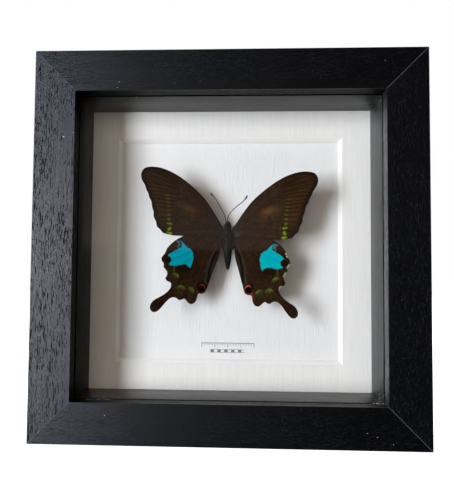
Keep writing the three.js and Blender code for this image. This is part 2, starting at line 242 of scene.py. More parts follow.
class Recipe(Nodes):
    """One material's nodes, added a step at a time around a Principled surface."""

    def __init__(self, name):
        self.material = bpy.data.materials.new(name)
        super().__init__(self.material)
        self.surface = self.node("BsdfPrincipled")
        self.node("OutputMaterial", {"Surface": self.surface.outputs["BSDF"]})

    def coords(self, size):
        """Object coordinates counted in cells of that many millimetres along x, y and z."""
        where = self.node("TexCoord").outputs["Object"]
        per_metre = tuple(1 / (edge * MM) for edge in size)
        return self.node("Mapping", {"Vector": where, "Scale": per_metre}).outputs["Vector"]

    def noise(self, size, detail=2.0, roughness=0.5, distortion=0.0):
        inputs = {
            "Vector": self.coords(size), "Scale": 1.0, "Detail": detail,
            "Roughness": roughness, "Distortion": distortion,
        }
        return self.node("TexNoise", inputs).outputs[0]

    def cells(self, size):
        """The distance to the nearest of some points scattered one to a cell."""
        return self.node("TexVoronoi", {"Vector": self.coords(size), "Scale": 1.0}).outputs["Distance"]

    def mark(self, name):
        """A value that the mesh carries at each of its points."""
        return self.node("Attribute", attribute_name=name).outputs["Fac"]

    def mix(self, factor, a, b):
        """Colour a turning into colour b."""
        return self.node("Mix", {0: factor, 6: a, 7: b}, data_type="RGBA").outputs[2]

    def coats(self, tone, *coats):
        """Colours laid over a tone one after another, each as strong as its factor."""
        for factor, colour in coats:
            tone = self.mix(factor, tone, colour)
        return tone

    def bump(self, height, distance):
        """A normal from a height between 0 and 1, that many millimetres high."""
        inputs = {"Height": height, "Distance": distance * MM, "Strength": 1.0}
        return self.node("Bump", inputs).outputs["Normal"]

    def facing(self, axis):
        """How squarely the surface faces along an axis, from -1 to 1."""
        normal = self.node("NewGeometry").outputs["True Normal"]
        return self.node("SeparateXYZ", {"Vector": normal}).outputs[axis]

    def finish(self, **inputs):
        for name, value in inputs.items():
            self.feed(self.surface.inputs[name.replace("_", " ")], value)
        return self.material


def along(axis, across, length):
    """The size of a cell stretched along one axis."""
    size = [across] * 3
    size[axis] = length
    return tuple(size)


def black_wood(name, grain, open_pores, wax):
    """Black stain over open-pored hardwood, the grain along the given axis."""
    wood = Recipe(name)
    # pores that crowd together in places, pale flecks between them, and scuffs
    crowd = wood.band(wood.noise(along(grain, 9, 40), detail=1), 0.3, 0.7, -0.06, 0.04)
    dashes = wood.noise(along(grain, 0.5, 4.2), detail=1.5, distortion=0.2)
    pores = wood.band(wood.sum(dashes, crowd), 0.59, 0.64, 0, open_pores)
    flecks = wood.band(wood.noise(along(grain, 0.45, 1.0), detail=3, roughness=0.7), 0.58, 0.7)
    fine = wood.noise(along(grain, 0.16, 1.6), detail=3, roughness=0.6)
    figure = wood.noise(along(grain, 2.4, 46), detail=2)
    scuffs = wood.band(wood.noise((7, 7, 7), detail=5, roughness=0.7), 0.58, 0.75)
    # a painted highlight runs along the mitres, where the joint's edges would catch the light, and the
    # stain is even on the sides
    where = wood.node("SeparateXYZ", {"Vector": wood.coords((1, 1, 1))}).outputs
    across = wood.math("ABSOLUTE", where["X"])
    height = wood.math("ABSOLUTE", wood.sum(where["Z"], -CENTRE_Z))
    off_mitre = wood.math("ABSOLUTE", wood.math("SUBTRACT", across, height))
    behind = wood.band(where["Y"], at_depth(ARRIS + 0.1), at_depth(ARRIS + 1))
    stain = wood.coats(
        wood.mix(fine, (0.0004, 0.00045, 0.00075), (0.0011, 0.0012, 0.0019)),
        (wood.times(flecks, 0.5), (0.013, 0.0135, 0.017)),
        (wood.times(pores, 0.9), (0.0008, 0.0008, 0.001)),
        # painted highlight along the mitres
        (wood.band(off_mitre, 0.2, 0.45, 0.9, 0), (0.07, 0.074, 0.088)),
        (behind, (0.0007, 0.0007, 0.0008)),
    )
    # the face is waxed and the sides less so; the sight edge is dull, but for the side that faces left
    reach = wood.math("MAXIMUM", across, height)
    sight_edge = wood.times(behind, wood.band(reach, SIGHT + 1, SIGHT + 4, 1, 0))
    faces_left = wood.band(wood.facing("X"), -0.6, -0.2, 1, 0)
    shine = wood.sum(
        wood.times(
            wood.band(behind, 0, 1, wax, 0.15), wood.band(pores, 0, 1, 1, 0.3),
            wood.band(sight_edge, 0, 1, 1, 0.3),
        ),
        wood.times(sight_edge, faces_left, 0.6),
    )
    relief = wood.sum(
        wood.times(pores, -1.2), wood.times(fine, 0.3), wood.times(flecks, 0.35), wood.times(figure, 0.5),
    )
    gloss = wood.sum(
        wood.band(fine, 0.3, 0.7, 0.29, 0.36), wood.times(pores, 0.3), wood.times(scuffs, 0.05),
    )
    return wood.finish(
        Base_Color=stain, Roughness=gloss, Normal=wood.bump(relief, 0.17), IOR=1.5,
        Specular_IOR_Level=shine,
    )


def wrapped_wall(name, grain):
    """Thin black wood-grain wrap on the inner walls."""
    wrap = Recipe(name)
    streaks = wrap.noise(along(grain, 0.7, 60), detail=4, roughness=0.65)
    broad = wrap.noise(along(grain, 3.2, 90), detail=2)
    nicks = wrap.band(wrap.noise(along(grain, 0.35, 5), detail=2), 0.62, 0.72)
    # the front edge is painted dead black as shade, where the lamp would otherwise light it, and the left
    # wall, which faces right, has hardly any shine
    shaded_front_edge = wrap.band(wrap.facing("Y"), -0.8, -0.4, 1, 0)
    tone = wrap.coats(
        wrap.mix(wrap.band(streaks, 0.35, 0.65), (0.005, 0.005, 0.005), (0.022, 0.0215, 0.021)),
        (wrap.band(broad, 0.4, 0.65), (0.012, 0.012, 0.012)),
        # painted shade on the front edge
        (shaded_front_edge, (0.001, 0.001, 0.001)),
    )
    shine = wrap.band(wrap.facing("X"), 0.2, 0.6, 0.42, 0.05)
    shine = wrap.times(shine, wrap.band(shaded_front_edge, 0, 1, 1, 0))
    gloss = wrap.band(streaks, 0.3, 0.7, 0.42, 0.3)
    height = wrap.sum(streaks, wrap.times(nicks, -0.6))
    return wrap.finish(
        Base_Color=tone, Roughness=gloss, Normal=wrap.bump(height, 0.07), IOR=1.5,
        Specular_IOR_Level=shine,
    )


def clear_glass():
    """Clear glass with a breath of haze in places."""
    glass = Recipe("clear_glass")
    tint = glass.mix(glass.noise((40, 40, 40)), (0.985, 0.995, 0.99), (0.995, 1, 0.998))
    haze = glass.band(glass.noise((9, 9, 9), detail=6, roughness=0.7), 0.55, 0.8, 0.0, 0.03)
    return glass.finish(Base_Color=tint, Roughness=haze, IOR=1.5, Transmission_Weight=1.0)


def mount_card():
    """Warm white card with a fine upright rib."""
    card = Recipe("mount_card")
    ribs = card.noise((0.8, 0.8, 20), detail=2)
    felt = card.noise((0.6, 0.6, 1), detail=4, roughness=0.7)
    clouds = card.noise((18, 18, 30), detail=2)
    tone = card.mix(card.band(ribs, 0.3, 0.7), (0.80, 0.795, 0.77), (0.86, 0.855, 0.835))
    tone = card.mix(card.times(clouds, 0.35), tone, (0.835, 0.84, 0.83))
    height = card.sum(ribs, card.times(felt, 0.5))
    return card.finish(
        Base_Color=tone, Roughness=0.88, Normal=card.bump(height, 0.1), Specular_IOR_Level=0.1,
    )


def card_core():
    """The bright cut edge of the card."""
    core = Recipe("card_core")
    fibres = core.noise((0.4, 0.4, 0.4), detail=4, roughness=0.7)
    layers = core.noise((30, 0.35, 30), detail=1)
    tone = core.mix(fibres, (0.9, 0.9, 0.895), (0.95, 0.95, 0.95))
    height = core.sum(fibres, core.times(layers, 0.5))
    return core.finish(
        Base_Color=tone, Roughness=0.8, Normal=core.bump(height, 0.05), Specular_IOR_Level=0.1,
    )


def lining_cloth():
    """Cool white cloth with slubs that mostly run upright."""
    cloth = Recipe("lining_cloth")
    warp = cloth.noise((0.6, 0.6, 4), detail=3, roughness=0.65)
    weft = cloth.noise((3, 3, 0.7), detail=3, roughness=0.65)
    slubs = cloth.band(cloth.noise((0.9, 0.9, 7), detail=3, distortion=0.4), 0.5, 0.7)
    tone = cloth.mix(warp, (0.79, 0.794, 0.799), (0.87, 0.873, 0.877))
    tone = cloth.mix(cloth.times(slubs, 0.2), tone, (0.765, 0.768, 0.77))
    height = cloth.sum(cloth.times(warp, 0.7), cloth.times(weft, 0.4), cloth.times(slubs, 0.9))
    return cloth.finish(
        Base_Color=tone, Roughness=0.82, Normal=cloth.bump(height, 0.07), Specular_IOR_Level=0.1,
    )


def foam_board():
    """White foam with its beads just showing."""
    foam = Recipe("foam_board")
    beads = foam.cells((1.3, 1.3, 1.3))
    tone = foam.mix(beads, (0.78, 0.78, 0.76), (0.88, 0.88, 0.86))
    return foam.finish(Base_Color=tone, Roughness=0.9, Normal=foam.bump(beads, 0.2))


def hardboard():
    """Pressed brown board, smooth-faced, with stray fibres and rubbed places."""
    board = Recipe("hardboard")
    fibres = board.noise((0.9, 0.9, 0.25), detail=5, roughness=0.7, distortion=1.5)
    flakes = board.noise((2.2, 2.2, 2.2), detail=4, roughness=0.65)
    clouds = board.noise((28, 28, 28), detail=3)
    rubbed = board.band(board.noise((14, 14, 5), detail=5, roughness=0.7), 0.56, 0.72)
    tone = board.coats(
        board.mix(fibres, (0.135, 0.075, 0.038), (0.27, 0.165, 0.09)),
        (board.times(board.band(flakes, 0.4, 0.65), 0.5), (0.19, 0.11, 0.055)),
        (board.times(clouds, 0.4), (0.15, 0.088, 0.045)),
        (board.times(rubbed, 0.4), (0.33, 0.22, 0.13)),
    )
    gloss = board.band(flakes, 0.3, 0.7, 0.5, 0.68)
    height = board.sum(fibres, board.times(flakes, 0.8))
    return board.finish(Base_Color=tone, Roughness=gloss, Normal=board.bump(height, 0.12))


def zinc_steel():
    """Bright zinc on pressed steel, with spangle, draw marks and small stains."""
    zinc = Recipe("zinc_steel")
    spangle = zinc.cells((1.6, 1.6, 1.6))
    drawn = zinc.noise((14, 14, 0.12), detail=3)
    stains = zinc.band(zinc.noise((3, 3, 3), detail=5, roughness=0.7), 0.56, 0.74)
    tone = zinc.mix(spangle, (0.5, 0.51, 0.52), (0.66, 0.66, 0.65))
    tone = zinc.mix(zinc.times(stains, 0.6), tone, (0.28, 0.25, 0.21))
    gloss = zinc.sum(zinc.band(drawn, 0.3, 0.7, 0.26, 0.42), zinc.times(stains, 0.3))
    height = zinc.sum(zinc.times(drawn, 0.5), zinc.times(spangle, 0.4))
    return zinc.finish(
        Base_Color=tone, Metallic=1.0, Roughness=gloss, Normal=zinc.bump(height, 0.02),
    )


def pin_steel():
    """Bright grey steel, drawn along the pin."""
    steel = Recipe("pin_steel")
    drawn = steel.noise((0.08, 3, 0.08), detail=2)
    tone = steel.mix(drawn, (0.22, 0.21, 0.2), (0.36, 0.35, 0.33))
    gloss = steel.band(drawn, 0.3, 0.7, 0.16, 0.3)
    return steel.finish(
        Base_Color=tone, Metallic=1.0, Roughness=gloss, Normal=steel.bump(drawn, 0.01),
    )


def printed_ink():
    """Soft grey print that has sunk a little into the cloth."""
    ink = Recipe("printed_ink")
    soak = ink.noise((0.22, 0.22, 0.5), detail=3, roughness=0.7)
    tone = ink.mix(soak, (0.1, 0.1, 0.105), (0.28, 0.28, 0.285))
    return ink.finish(Base_Color=tone, Roughness=0.8, Normal=ink.bump(soak, 0.02))


def pale_dust():
    """Grey-white crumbs and fluff."""
    dust = Recipe("pale_dust")
    grain = dust.noise((0.1, 0.1, 0.1), detail=3)
    tone = dust.mix(grain, (0.5, 0.48, 0.45), (0.85, 0.84, 0.82))
    return dust.finish(Base_Color=tone, Roughness=0.9, Normal=dust.bump(grain, 0.03))


def body_skin():
    """The near-black skin under the fur, with a little grey bloom."""
    skin = Recipe("body_fur")
    plates = skin.noise((0.5, 0.5, 0.35), detail=4, roughness=0.65)
    bloom = skin.band(skin.noise((1.6, 1.6, 1.6), detail=3), 0.48, 0.66)
    tone = skin.mix(plates, (0.0015, 0.0012, 0.0012), (0.006, 0.005, 0.0048))
    tone = skin.mix(skin.times(bloom, 0.3), tone, (0.035, 0.03, 0.028))
    return skin.finish(
        Base_Color=tone, Roughness=0.7, Normal=skin.bump(plates, 0.08), Specular_IOR_Level=0.1,
    )


def body_hair():
    """Fine dark hair with locks of pale brown."""
    hair = Recipe("body_hair")
    strand = hair.noise((0.5, 0.5, 0.5), detail=2)
    lock = hair.noise((0.75, 0.75, 1.25), detail=4, roughness=0.7)
    tone = hair.mix(strand, (0.001, 0.0008, 0.0008), (0.007, 0.006, 0.0055))
    tone = hair.mix(hair.band(lock, 0.48, 0.54), tone, (0.058, 0.053, 0.042))
    gloss = hair.band(strand, 0.3, 0.7, 0.42, 0.6)
    return hair.finish(Base_Color=tone, Roughness=gloss, Specular_IOR_Level=0.1)


def eye_gloss():
    """Dark glossy eyes with fine facets."""
    eye = Recipe("eye_gloss")
    facets = eye.cells((0.09, 0.09, 0.09))
    tone = eye.mix(facets, (0.012, 0.006, 0.004), (0.04, 0.022, 0.014))
    return eye.finish(Base_Color=tone, Roughness=0.22, Normal=eye.bump(facets, 0.02))


def antenna_horn():
    """Dark horn with faint rings."""
    horn = Recipe("antenna_horn")
    rings = horn.noise((0.3, 0.3, 0.3), detail=3)
    tone = horn.mix(rings, (0.003, 0.0022, 0.0018), (0.014, 0.01, 0.0075))
    return horn.finish(Base_Color=tone, Roughness=0.45, Normal=horn.bump(rings, 0.03))


def wing_scales():
    """Rows of dark brown scales, with the marks that the wing's mesh carries."""
    wing = Recipe("wing_scales")
    rows = wing.noise((0.16, 0.5, 0.1), detail=2, roughness=0.6)
    grit = wing.noise((0.62, 0.8, 0.62), detail=4, roughness=0.75)
    worn = wing.noise((2.6, 6, 2.2), detail=4, roughness=0.65)
    ragged = wing.band(wing.noise((0.9, 1.2, 0.7), detail=4, roughness=0.75), 0.25, 0.75, -1, 1)

    def edge_of(name, soft, rough):
        """How far a point is within a mark's edge, as 0 to 1, with a scaly edge."""
        inside = wing.sum(wing.mark(name), wing.times(ragged, rough))
        return wing.band(inside, -soft, soft)

    # ground colour, speckled and unevenly worn, then the brown and pale marks
    ground = wing.mix(wing.band(worn, 0.35, 0.65), (0.0165, 0.0062, 0.0019), (0.031, 0.0118, 0.0034))
    dusting = wing.times(wing.band(grit, 0.52, 0.68), wing.mark("dusted"))
    browns = wing.coats(
        ground,
        (wing.mark("cool"), (0.021, 0.0118, 0.0068)),
        (wing.band(grit, 0.52, 0.3, 0, 0.8), (0.007, 0.0035, 0.0016)),
        (wing.times(dusting, 0.7), (0.068, 0.056, 0.033)),
        (wing.times(wing.mark("striped"), 0.5), (0.05, 0.0275, 0.0055)),
        (wing.mark("warm"), (0.148, 0.061, 0.021)),
        (wing.mark("pale"), (0.105, 0.098, 0.088)),
        (wing.mark("dark"), (0.0045, 0.0026, 0.0018)),
        (wing.band(wing.mark("vein"), 0.08, 0.35, 0.3, 0), (0.009, 0.005, 0.003)),
    )
    # green and blue marks
    olive = wing.mix(wing.band(grit, 0.35, 0.65), (0.05, 0.062, 0.006), (0.16, 0.19, 0.035))
    lime = wing.mix(wing.band(grit, 0.35, 0.65), (0.09, 0.13, 0.002), (0.24, 0.34, 0.006))
    blue = wing.coats(
        wing.mix(wing.band(rows, 0.3, 0.7), (0.0003, 0.295, 0.325), (0.0006, 0.45, 0.48)),
        # painted sheen: the blue turns darker and bluer where its iridescent sheen dips
        (wing.times(wing.mark("sheen_dip"), 0.8), (0.0004, 0.3, 0.49)),
        (wing.band(wing.mark("vein"), 0.1, 0.3, 0.3, 0), (0.001, 0.16, 0.2)),
    )
    # the eyespot, and the white scales in the margin's notches
    ember = wing.mix(wing.mark("blush"), (0.115, 0.012, 0.0025), (0.33, 0.1, 0.045))
    tone = wing.coats(
        browns,
        (wing.times(wing.mark("olive"), wing.band(grit, 0.3, 0.6, 0.45, 1)), olive),
        (wing.mark("lime"), lime),
        (edge_of("cyan", 0.2, 0.42), blue),
        (wing.times(wing.mark("frost"), 0.8), (0.13, 0.22, 0.28)),
        (edge_of("halo", 0.3, 0.25), (0.002, 0.0015, 0.0014)),
        (edge_of("ring", 0.18, 0.18), ember),
        (edge_of("pupil", 0.2, 0.18), (0.0004, 0.0004, 0.0007)),
        (wing.mark("fringe"), (0.75, 0.66, 0.57)),
    )
    # the least worn scales stand up, so the surface is fine-grained
    height = wing.sum(rows, wing.times(grit, 0.6))
    gloss = wing.band(grit, 0.3, 0.7, 0.7, 0.9)
    return wing.finish(
        Base_Color=tone, Roughness=gloss, Normal=wing.bump(height, 0.05), IOR=1.4,
        Specular_IOR_Level=0.005,
    )


BLACK_WOOD = {
    0: black_wood("black_wood_level", 0, 0.35, 0.215),
    2: black_wood("black_wood_upright", 2, 1, 0.27),
}
WRAP = {0: wrapped_wall("inner_wrap_level", 0), 2: wrapped_wall("inner_wrap_upright", 2)}
ZINC = zinc_steel()
WING = wing_scales()
HAIR = body_hair()
HORN = antenna_horn()


# ---------- making pieces ----------


def settle(name, mesh, materials, nodes=(), crease=35):
    """A finished piece from a mesh that is already in metres and in place."""
    for material in materials:
        mesh.materials.append(material)
    mesh.shade_smooth()
    mesh.set_sharp_from_angle(angle=math.radians(crease))
    piece = bpy.data.objects.new(name, mesh)
    bpy.context.scene.collection.objects.link(piece)
    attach(piece, "root")
    if nodes:
        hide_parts(*nodes)
    return piece


def mesh_of(name, bm, place=None):
    """The millimetre shape as a mesh in metres, after an optional move into place."""
    matrix = Matrix.Scale(MM, 4) @ (place or Matrix.Identity(4))
    bmesh.ops.transform(bm, matrix=matrix, verts=bm.verts)
    mesh = bpy.data.meshes.new(name)
    bm.to_mesh(mesh)
    bm.free()
    return mesh


def round_edges(bm, edges, radius, segments):
    return bmesh.ops.bevel(
        bm, geom=edges, offset=radius, offset_type="OFFSET", affect="EDGES", segments=segments,
        profile=0.5, material=-1, clamp_overlap=True,
    )


def add_box(bm, low, high):
    """A box between two corners, and its vertices."""
    low, high = Vector(low), Vector(high)
    verts = bmesh.ops.create_cube(bm, size=1)["verts"]
    bmesh.ops.scale(bm, vec=high - low, verts=verts)
    bmesh.ops.translate(bm, vec=(low + high) / 2, verts=verts)
    return verts


def node_box(node):
    """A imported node's corners in millimetres."""
    return [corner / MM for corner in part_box(node)]


def spun(bm, profile, segments):
    """A closed turned shape about the z axis, from radius and height pairs."""
    verts = [bm.verts.new((radius, 0, height)) for radius, height in profile]
    edges = [bm.edges.new(pair) for pair in zip(verts, verts[1:])]
    bmesh.ops.spin(
        bm, geom=verts + edges, cent=(0, 0, 0), axis=(0, 0, 1), angle=math.tau, steps=segments,
        use_merge=True,
    )
    bmesh.ops.remove_doubles(bm, verts=bm.verts, dist=1e-4)
    bmesh.ops.recalc_face_normals(bm, faces=bm.faces)


def smooth_route(points, steps, closed=False):
    """Points along a centripetal curve through the given ones."""
    known = [Vector(p) for p in points]
    if closed:
        known = [known[-1], *known, known[0], known[1]]
    else:
        known = [2 * known[0] - known[1], *known, 2 * known[-1] - known[-2]]
    route = []
    for before, start, end, after in zip(known, known[1:], known[2:], known[3:]):
        spans = (start - before, end - start, after - end)
        d0, d1, d2 = (math.sqrt(span.length) for span in spans)
        leave = ((start - before) / d0 - (end - before) / (d0 + d1) + (end - start) / d1) * d1
        arrive = ((end - start) / d1 - (after - start) / (d1 + d2) + (after - end) / d2) * d1
        for step in range(steps):
            t = step / steps
            cubic = 2 * start - 2 * end + leave + arrive
            square = 3 * end - 3 * start - 2 * leave - arrive
            route.append(start + t * (leave + t * (square + t * cubic)))
    return route if closed else [*route, known[-2]]


def tube(bm, route, radii, sides):
    """A closed tube along a route, with a radius at each point."""
    previous = None
    for i, (point, radius) in enumerate(zip(route, radii)):
        ahead = route[min(i + 1, len(route) - 1)] - route[max(i - 1, 0)]
        turn = ahead.to_track_quat("Z", "Y").to_matrix().to_4x4()
        ring = bmesh.ops.create_circle(
            bm, cap_ends=False, segments=sides, radius=radius, matrix=Matrix.Translation(point) @ turn,
        )["verts"]
        edges = list(dict.fromkeys(edge for vert in ring for edge in vert.link_edges))
        if previous:
            bmesh.ops.bridge_loops(bm, edges=previous + edges)
        else:
            bmesh.ops.edgeloop_fill(bm, edges=edges)
        previous = edges
    bmesh.ops.edgeloop_fill(bm, edges=previous)
    bmesh.ops.recalc_face_normals(bm, faces=bm.faces)


# ---------- the moulding ----------


def add_rail(side, quarter):
    """One rail of the moulding: an L section, mitred at both ends, made as the bottom one and turned."""
    bm = bmesh.new()
    section = [  # inwards from the outer side, and depth
        (0, PAINT_BACK), (FACE_WIDTH, PAINT_BACK), (FACE_WIDTH, LIP_DEPTH), (WALL_WIDTH, LIP_DEPTH),
        (WALL_WIDTH, FRAME_DEPTH), (0, FRAME_DEPTH),
    ]
    verts = [bm.verts.new((-HALF, at_depth(depth), inwards - HALF)) for inwards, depth in section]
    face = bm.faces.new(verts)
    grown = bmesh.ops.extrude_face_region(bm, geom=[face])["geom"]
    ends = [item for item in grown if isinstance(item, bmesh.types.BMVert)]
    bmesh.ops.translate(bm, vec=(FRAME_SIDE, 0, 0), verts=ends)
    arrises = [
        e for e in bm.edges
        if abs(e.verts[0].co.x - e.verts[1].co.x) > HALF
        and e.verts[0].co.y in (at_depth(PAINT_BACK), at_depth(FRAME_DEPTH))
        and e.verts[0].co.z != WALL_WIDTH - HALF
    ]
    round_edges(bm, arrises, ARRIS, 5)
    for end in (-1, 1):
        cut = bmesh.ops.bisect_plane(
            bm, geom=bm.verts[:] + bm.edges[:] + bm.faces[:], dist=1e-4, clear_outer=True,
            plane_co=(0, 0, -MITRE_GAP), plane_no=Vector((end, 0, 1)).normalized(),
        )["geom_cut"]
        edges = [item for item in cut if isinstance(item, bmesh.types.BMEdge)]
        bmesh.ops.edgeloop_fill(bm, edges=edges)
    bmesh.ops.recalc_face_normals(bm, faces=bm.faces)
    mitres = [f for f in bm.faces if abs(f.normal.x) > 0.6 and abs(f.normal.z) > 0.6 and len(f.verts) > 8]
    seam = [
        e for f in mitres for e in f.edges
        if all(v.co.y < at_depth(LIP_DEPTH) - 1 for v in e.verts) and e.calc_length() > 2 * ARRIS
    ]
    round_edges(bm, seam, MITRE_ARRIS, 1)
    place = Matrix.Translation((0, 0, CENTRE_Z)) @ Matrix.Rotation(-quarter * math.pi / 2, 4, "Y")
    mesh = mesh_of("rail_" + side, bm, place)
    settle("rail_" + side, mesh, [BLACK_WOOD[GRAIN[side]]], ["frame_rail_" + side])


for quarter, side in enumerate(GRAIN):
    add_rail(side, quarter)


# ---------- glass, inner walls, mount and lining ----------


def add_glass():
    bm = bmesh.new()
    add_box(bm, *node_box("glass_pane"))
    round_edges(bm, bm.edges[:], 0.15, 1)
    pane = settle("glass", mesh_of("glass", bm), [clear_glass()], ["glass_pane"])
    # the lamps light the inside directly, and the haze doesn't spread their light again
    pane.visible_shadow = False
    pane.visible_diffuse = False


def add_inner_wall(side):
    """One wrapped wall; the upright ones run on to meet the others at the corners."""
    bm = bmesh.new()
    low, high = node_box("spacer_" + side)
    if GRAIN[side] == 2:
        low.z -= WALL_REACH
        high.z += WALL_REACH
    add_box(bm, low, high)
    round_edges(bm, bm.edges[:], 0.1, 2)
    mesh = mesh_of("inner_wall_" + side, bm)
    settle("inner_wall_" + side, mesh, [WRAP[GRAIN[side]]], ["spacer_" + side])


def add_window_mount():
    """Card with a square window, cut back at 45 degrees to show the bright core."""
    bm = bmesh.new()
    low, high = node_box("window_mount")
    add_box(bm, low, high)
    rims = []
    for facing, opening in ((-1, WINDOW_FRONT), (1, WINDOW_BACK)):
        face = next(f for f in bm.faces if f.normal.y * facing > 0.9 and f.calc_area() > 1000)
        inset = (high.x - low.x - opening) / 2
        bmesh.ops.inset_region(bm, faces=[face], thickness=inset, use_even_offset=True)
        bmesh.ops.translate(bm, vec=(WINDOW_SHIFT[0], 0, WINDOW_SHIFT[1]), verts=face.verts)
        rims += face.edges[:]
        bmesh.ops.delete(bm, geom=[face], context="FACES_ONLY")
    bevel = bmesh.ops.bridge_loops(bm, edges=rims)["faces"]
    for face in bevel:
        face.material_index = 1
    bmesh.ops.recalc_face_normals(bm, faces=bm.faces)
    round_edges(bm, rims[:4], 0.06, 2)
    mesh = mesh_of("bevelled_mount", bm)
    settle("bevelled_mount", mesh, [mount_card(), card_core()], ["window_mount"])


def dress(node, material):
    """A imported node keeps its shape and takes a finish."""
    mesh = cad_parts[node].data
    mesh.materials.clear()
    mesh.materials.append(material)


add_glass()
for side in ("top", "bottom", "left", "right"):
    add_inner_wall(side)
add_window_mount()
dress("lining_sheet", lining_cloth())
dress("pin_board", foam_board())
dress("back_board", hardboard())
dress("sawtooth_hanger", ZINC)
for side in GRAIN:
    for place in (1, 2):
        dress(f"flexi_tab_{side}_{place}", ZINC)

SCALE_BAR = {
    "left": -16.4, "right": 14.6, "top": -55.5, "tick": 1.5, "tall": 2.6, "line": 0.34, "step": 1.55,
}
CHECK_BAR = {
    "left": -11, "right": 9.4, "top": -59.4, "height": 1.9, "border": 0.238, "blocks": 10,
}
PRINT_THICKNESS = 0.05


def add_printed_scale():
    """A plain ruled scale with a chequered bar under it, printed on the lining."""
    bm = bmesh.new()
    front = at_depth(LINING_DEPTH - PRINT_THICKNESS)
    back = at_depth(LINING_DEPTH)
    line = SCALE_BAR["line"]

    def stroke(x0, x1, z0, z1):
        add_box(bm, (x0, front, CENTRE_Z + z0), (x1, back, CENTRE_Z + z1))

    top = SCALE_BAR["top"]
    stroke(SCALE_BAR["left"], SCALE_BAR["right"] + line, top - line, top)
    for count in range(round((SCALE_BAR["right"] - SCALE_BAR["left"]) / SCALE_BAR["step"]) + 1):
        x = SCALE_BAR["left"] + count * SCALE_BAR["step"]
        height = SCALE_BAR["tall"] if count % 5 == 0 else SCALE_BAR["tick"]
        stroke(x, x + line, top - height, top - line)
    left, high = CHECK_BAR["left"], CHECK_BAR["top"]
    low = high - CHECK_BAR["height"]
    border = CHECK_BAR["border"]
    block = (CHECK_BAR["right"] - left) / CHECK_BAR["blocks"]
    for edge in (low, high - border):
        stroke(left, CHECK_BAR["right"], edge, edge + border)
    for count in range(0, CHECK_BAR["blocks"], 2):
        stroke(left + count * block, left + (count + 1) * block, low + border, high - border)
    settle("printed_scale", mesh_of("printed_scale", bm), [printed_ink()])


add_printed_scale()


# ---------- nails ----------


def add_nail(side):
    """A short domed nail that holds one end of the hanger."""
    bm = bmesh.new()
    low, high = node_box("hanger_nail_" + side)
    length = high.y - low.y
    head = (high.x - low.x) / 2
    shank, dome, rim = 0.6, 0.7, 0.92
    profile = [(0, 0), (shank, shank), (shank, length - dome), (head * rim, length - dome)]
    arc = [(math.cos(a), math.sin(a)) for a in np.linspace(0.25, math.pi / 2, 7)]
    profile += [(head * c, length - dome + dome * s) for c, s in arc[:-1]] + [(0, length)]
    spun(bm, profile, 24)
    place = Matrix.Translation(((low.x + high.x) / 2, low.y, (low.z + high.z) / 2))
    mesh = mesh_of("nail_" + side, bm, place @ Matrix.Rotation(-math.pi / 2, 4, "X"))
    settle("nail_" + side, mesh, [ZINC], ["hanger_nail_" + side])


add_nail("left")
add_nail("right")


# ---------- the wings ----------


def eased(values, low, high):
    """0 below low, 1 above high, and smooth between."""
    t = np.clip((values - low) / (high - low), 0, 1)
    return t * t * (3 - 2 * t)


def faded(values, low, high):
    """1 below low, 0 above high, and smooth between."""
    return 1 - eased(values, low, high)


def strongest(*layers):
    """The highest of several layers at each point."""
    return reduce(np.maximum, layers)


def route_distance(across, up, routes):
    """Each point's distance to the nearest of some polylines."""
    nearest = np.full(across.shape, 99.0)
    for route in routes:
        for (x0, z0), (x1, z1) in zip(route, route[1:]):
            dx, dz = x1 - x0, z1 - z0
            t = np.clip(((across - x0) * dx + (up - z0) * dz) / (dx * dx + dz * dz), 0, 1)
            nearest = np.minimum(nearest, np.hypot(across - x0 - t * dx, up - z0 - t * dz))
    return nearest


def within(across, up, outline):
    """Each point's distance inside a closed outline, negative outside it."""
    ring = [*outline, outline[0]]
    inside = np.zeros(across.shape, bool)
    for (x0, z0), (x1, z1) in zip(ring, ring[1:]):
        if z0 != z1:
            crosses = (up > min(z0, z1)) & (up <= max(z0, z1))
            inside ^= crosses & (across < x0 + (up - z0) * (x1 - x0) / (z1 - z0))
    distance = route_distance(across, up, [ring])
    return np.where(inside, distance, -distance)


def patch(across, up, middle, radii, turn=0, soft=0.5):
    """1 inside an ellipse, fading out over the outer part of its radius."""
    angle = math.radians(turn)
    x, z = across - middle[0], up - middle[1]
    u = (x * math.cos(angle) + z * math.sin(angle)) / radii[0]
    v = (z * math.cos(angle) - x * math.sin(angle)) / radii[1]
    return faded(np.hypot(u, v), 1 - soft, 1 + soft)


def half_moon(across, up, middle, radius, lean):
    """A lunule: a disc brightest along the rim that its lean in degrees points to."""
    x, z = across - middle[0], up - middle[1]
    towards = x * math.cos(math.radians(lean)) + z * math.sin(math.radians(lean))
    disc = faded(np.hypot(x, z), radius - 0.45, radius + 0.2)
    return disc * (0.05 + 0.95 * eased(towards, -0.1 * radius, 0.9 * radius))


# Lime spots down the forewing: outwards, up, half width, half height, brightness.
LIME_SPOTS = [
    (33, 16.2, 1.3, 0.5, 0.1), (32.4, 14.2, 1.1, 0.5, 0.12), (31.9, 12.2, 1, 0.5, 0.14),
    (31.7, 10.1, 0.9, 0.5, 0.2), (31.3, 7.9, 1.1, 0.5, 0.14), (31.2, 5.2, 1, 0.55, 0.26),
    (31.2, 2.9, 1, 0.5, 0.36), (30.9, 1.9, 0.6, 0.4, 0.3), (30, 0.2, 0.9, 0.6, 0.7),
    (31.3, 0.4, 0.8, 0.5, 0.6), (30.2, -2.2, 0.8, 0.7, 0.8), (30.5, -3, 0.9, 0.6, 0.95),
    (29.8, -5.2, 1.1, 0.75, 1.0), (31, -4.8, 0.8, 0.5, 0.85),
]


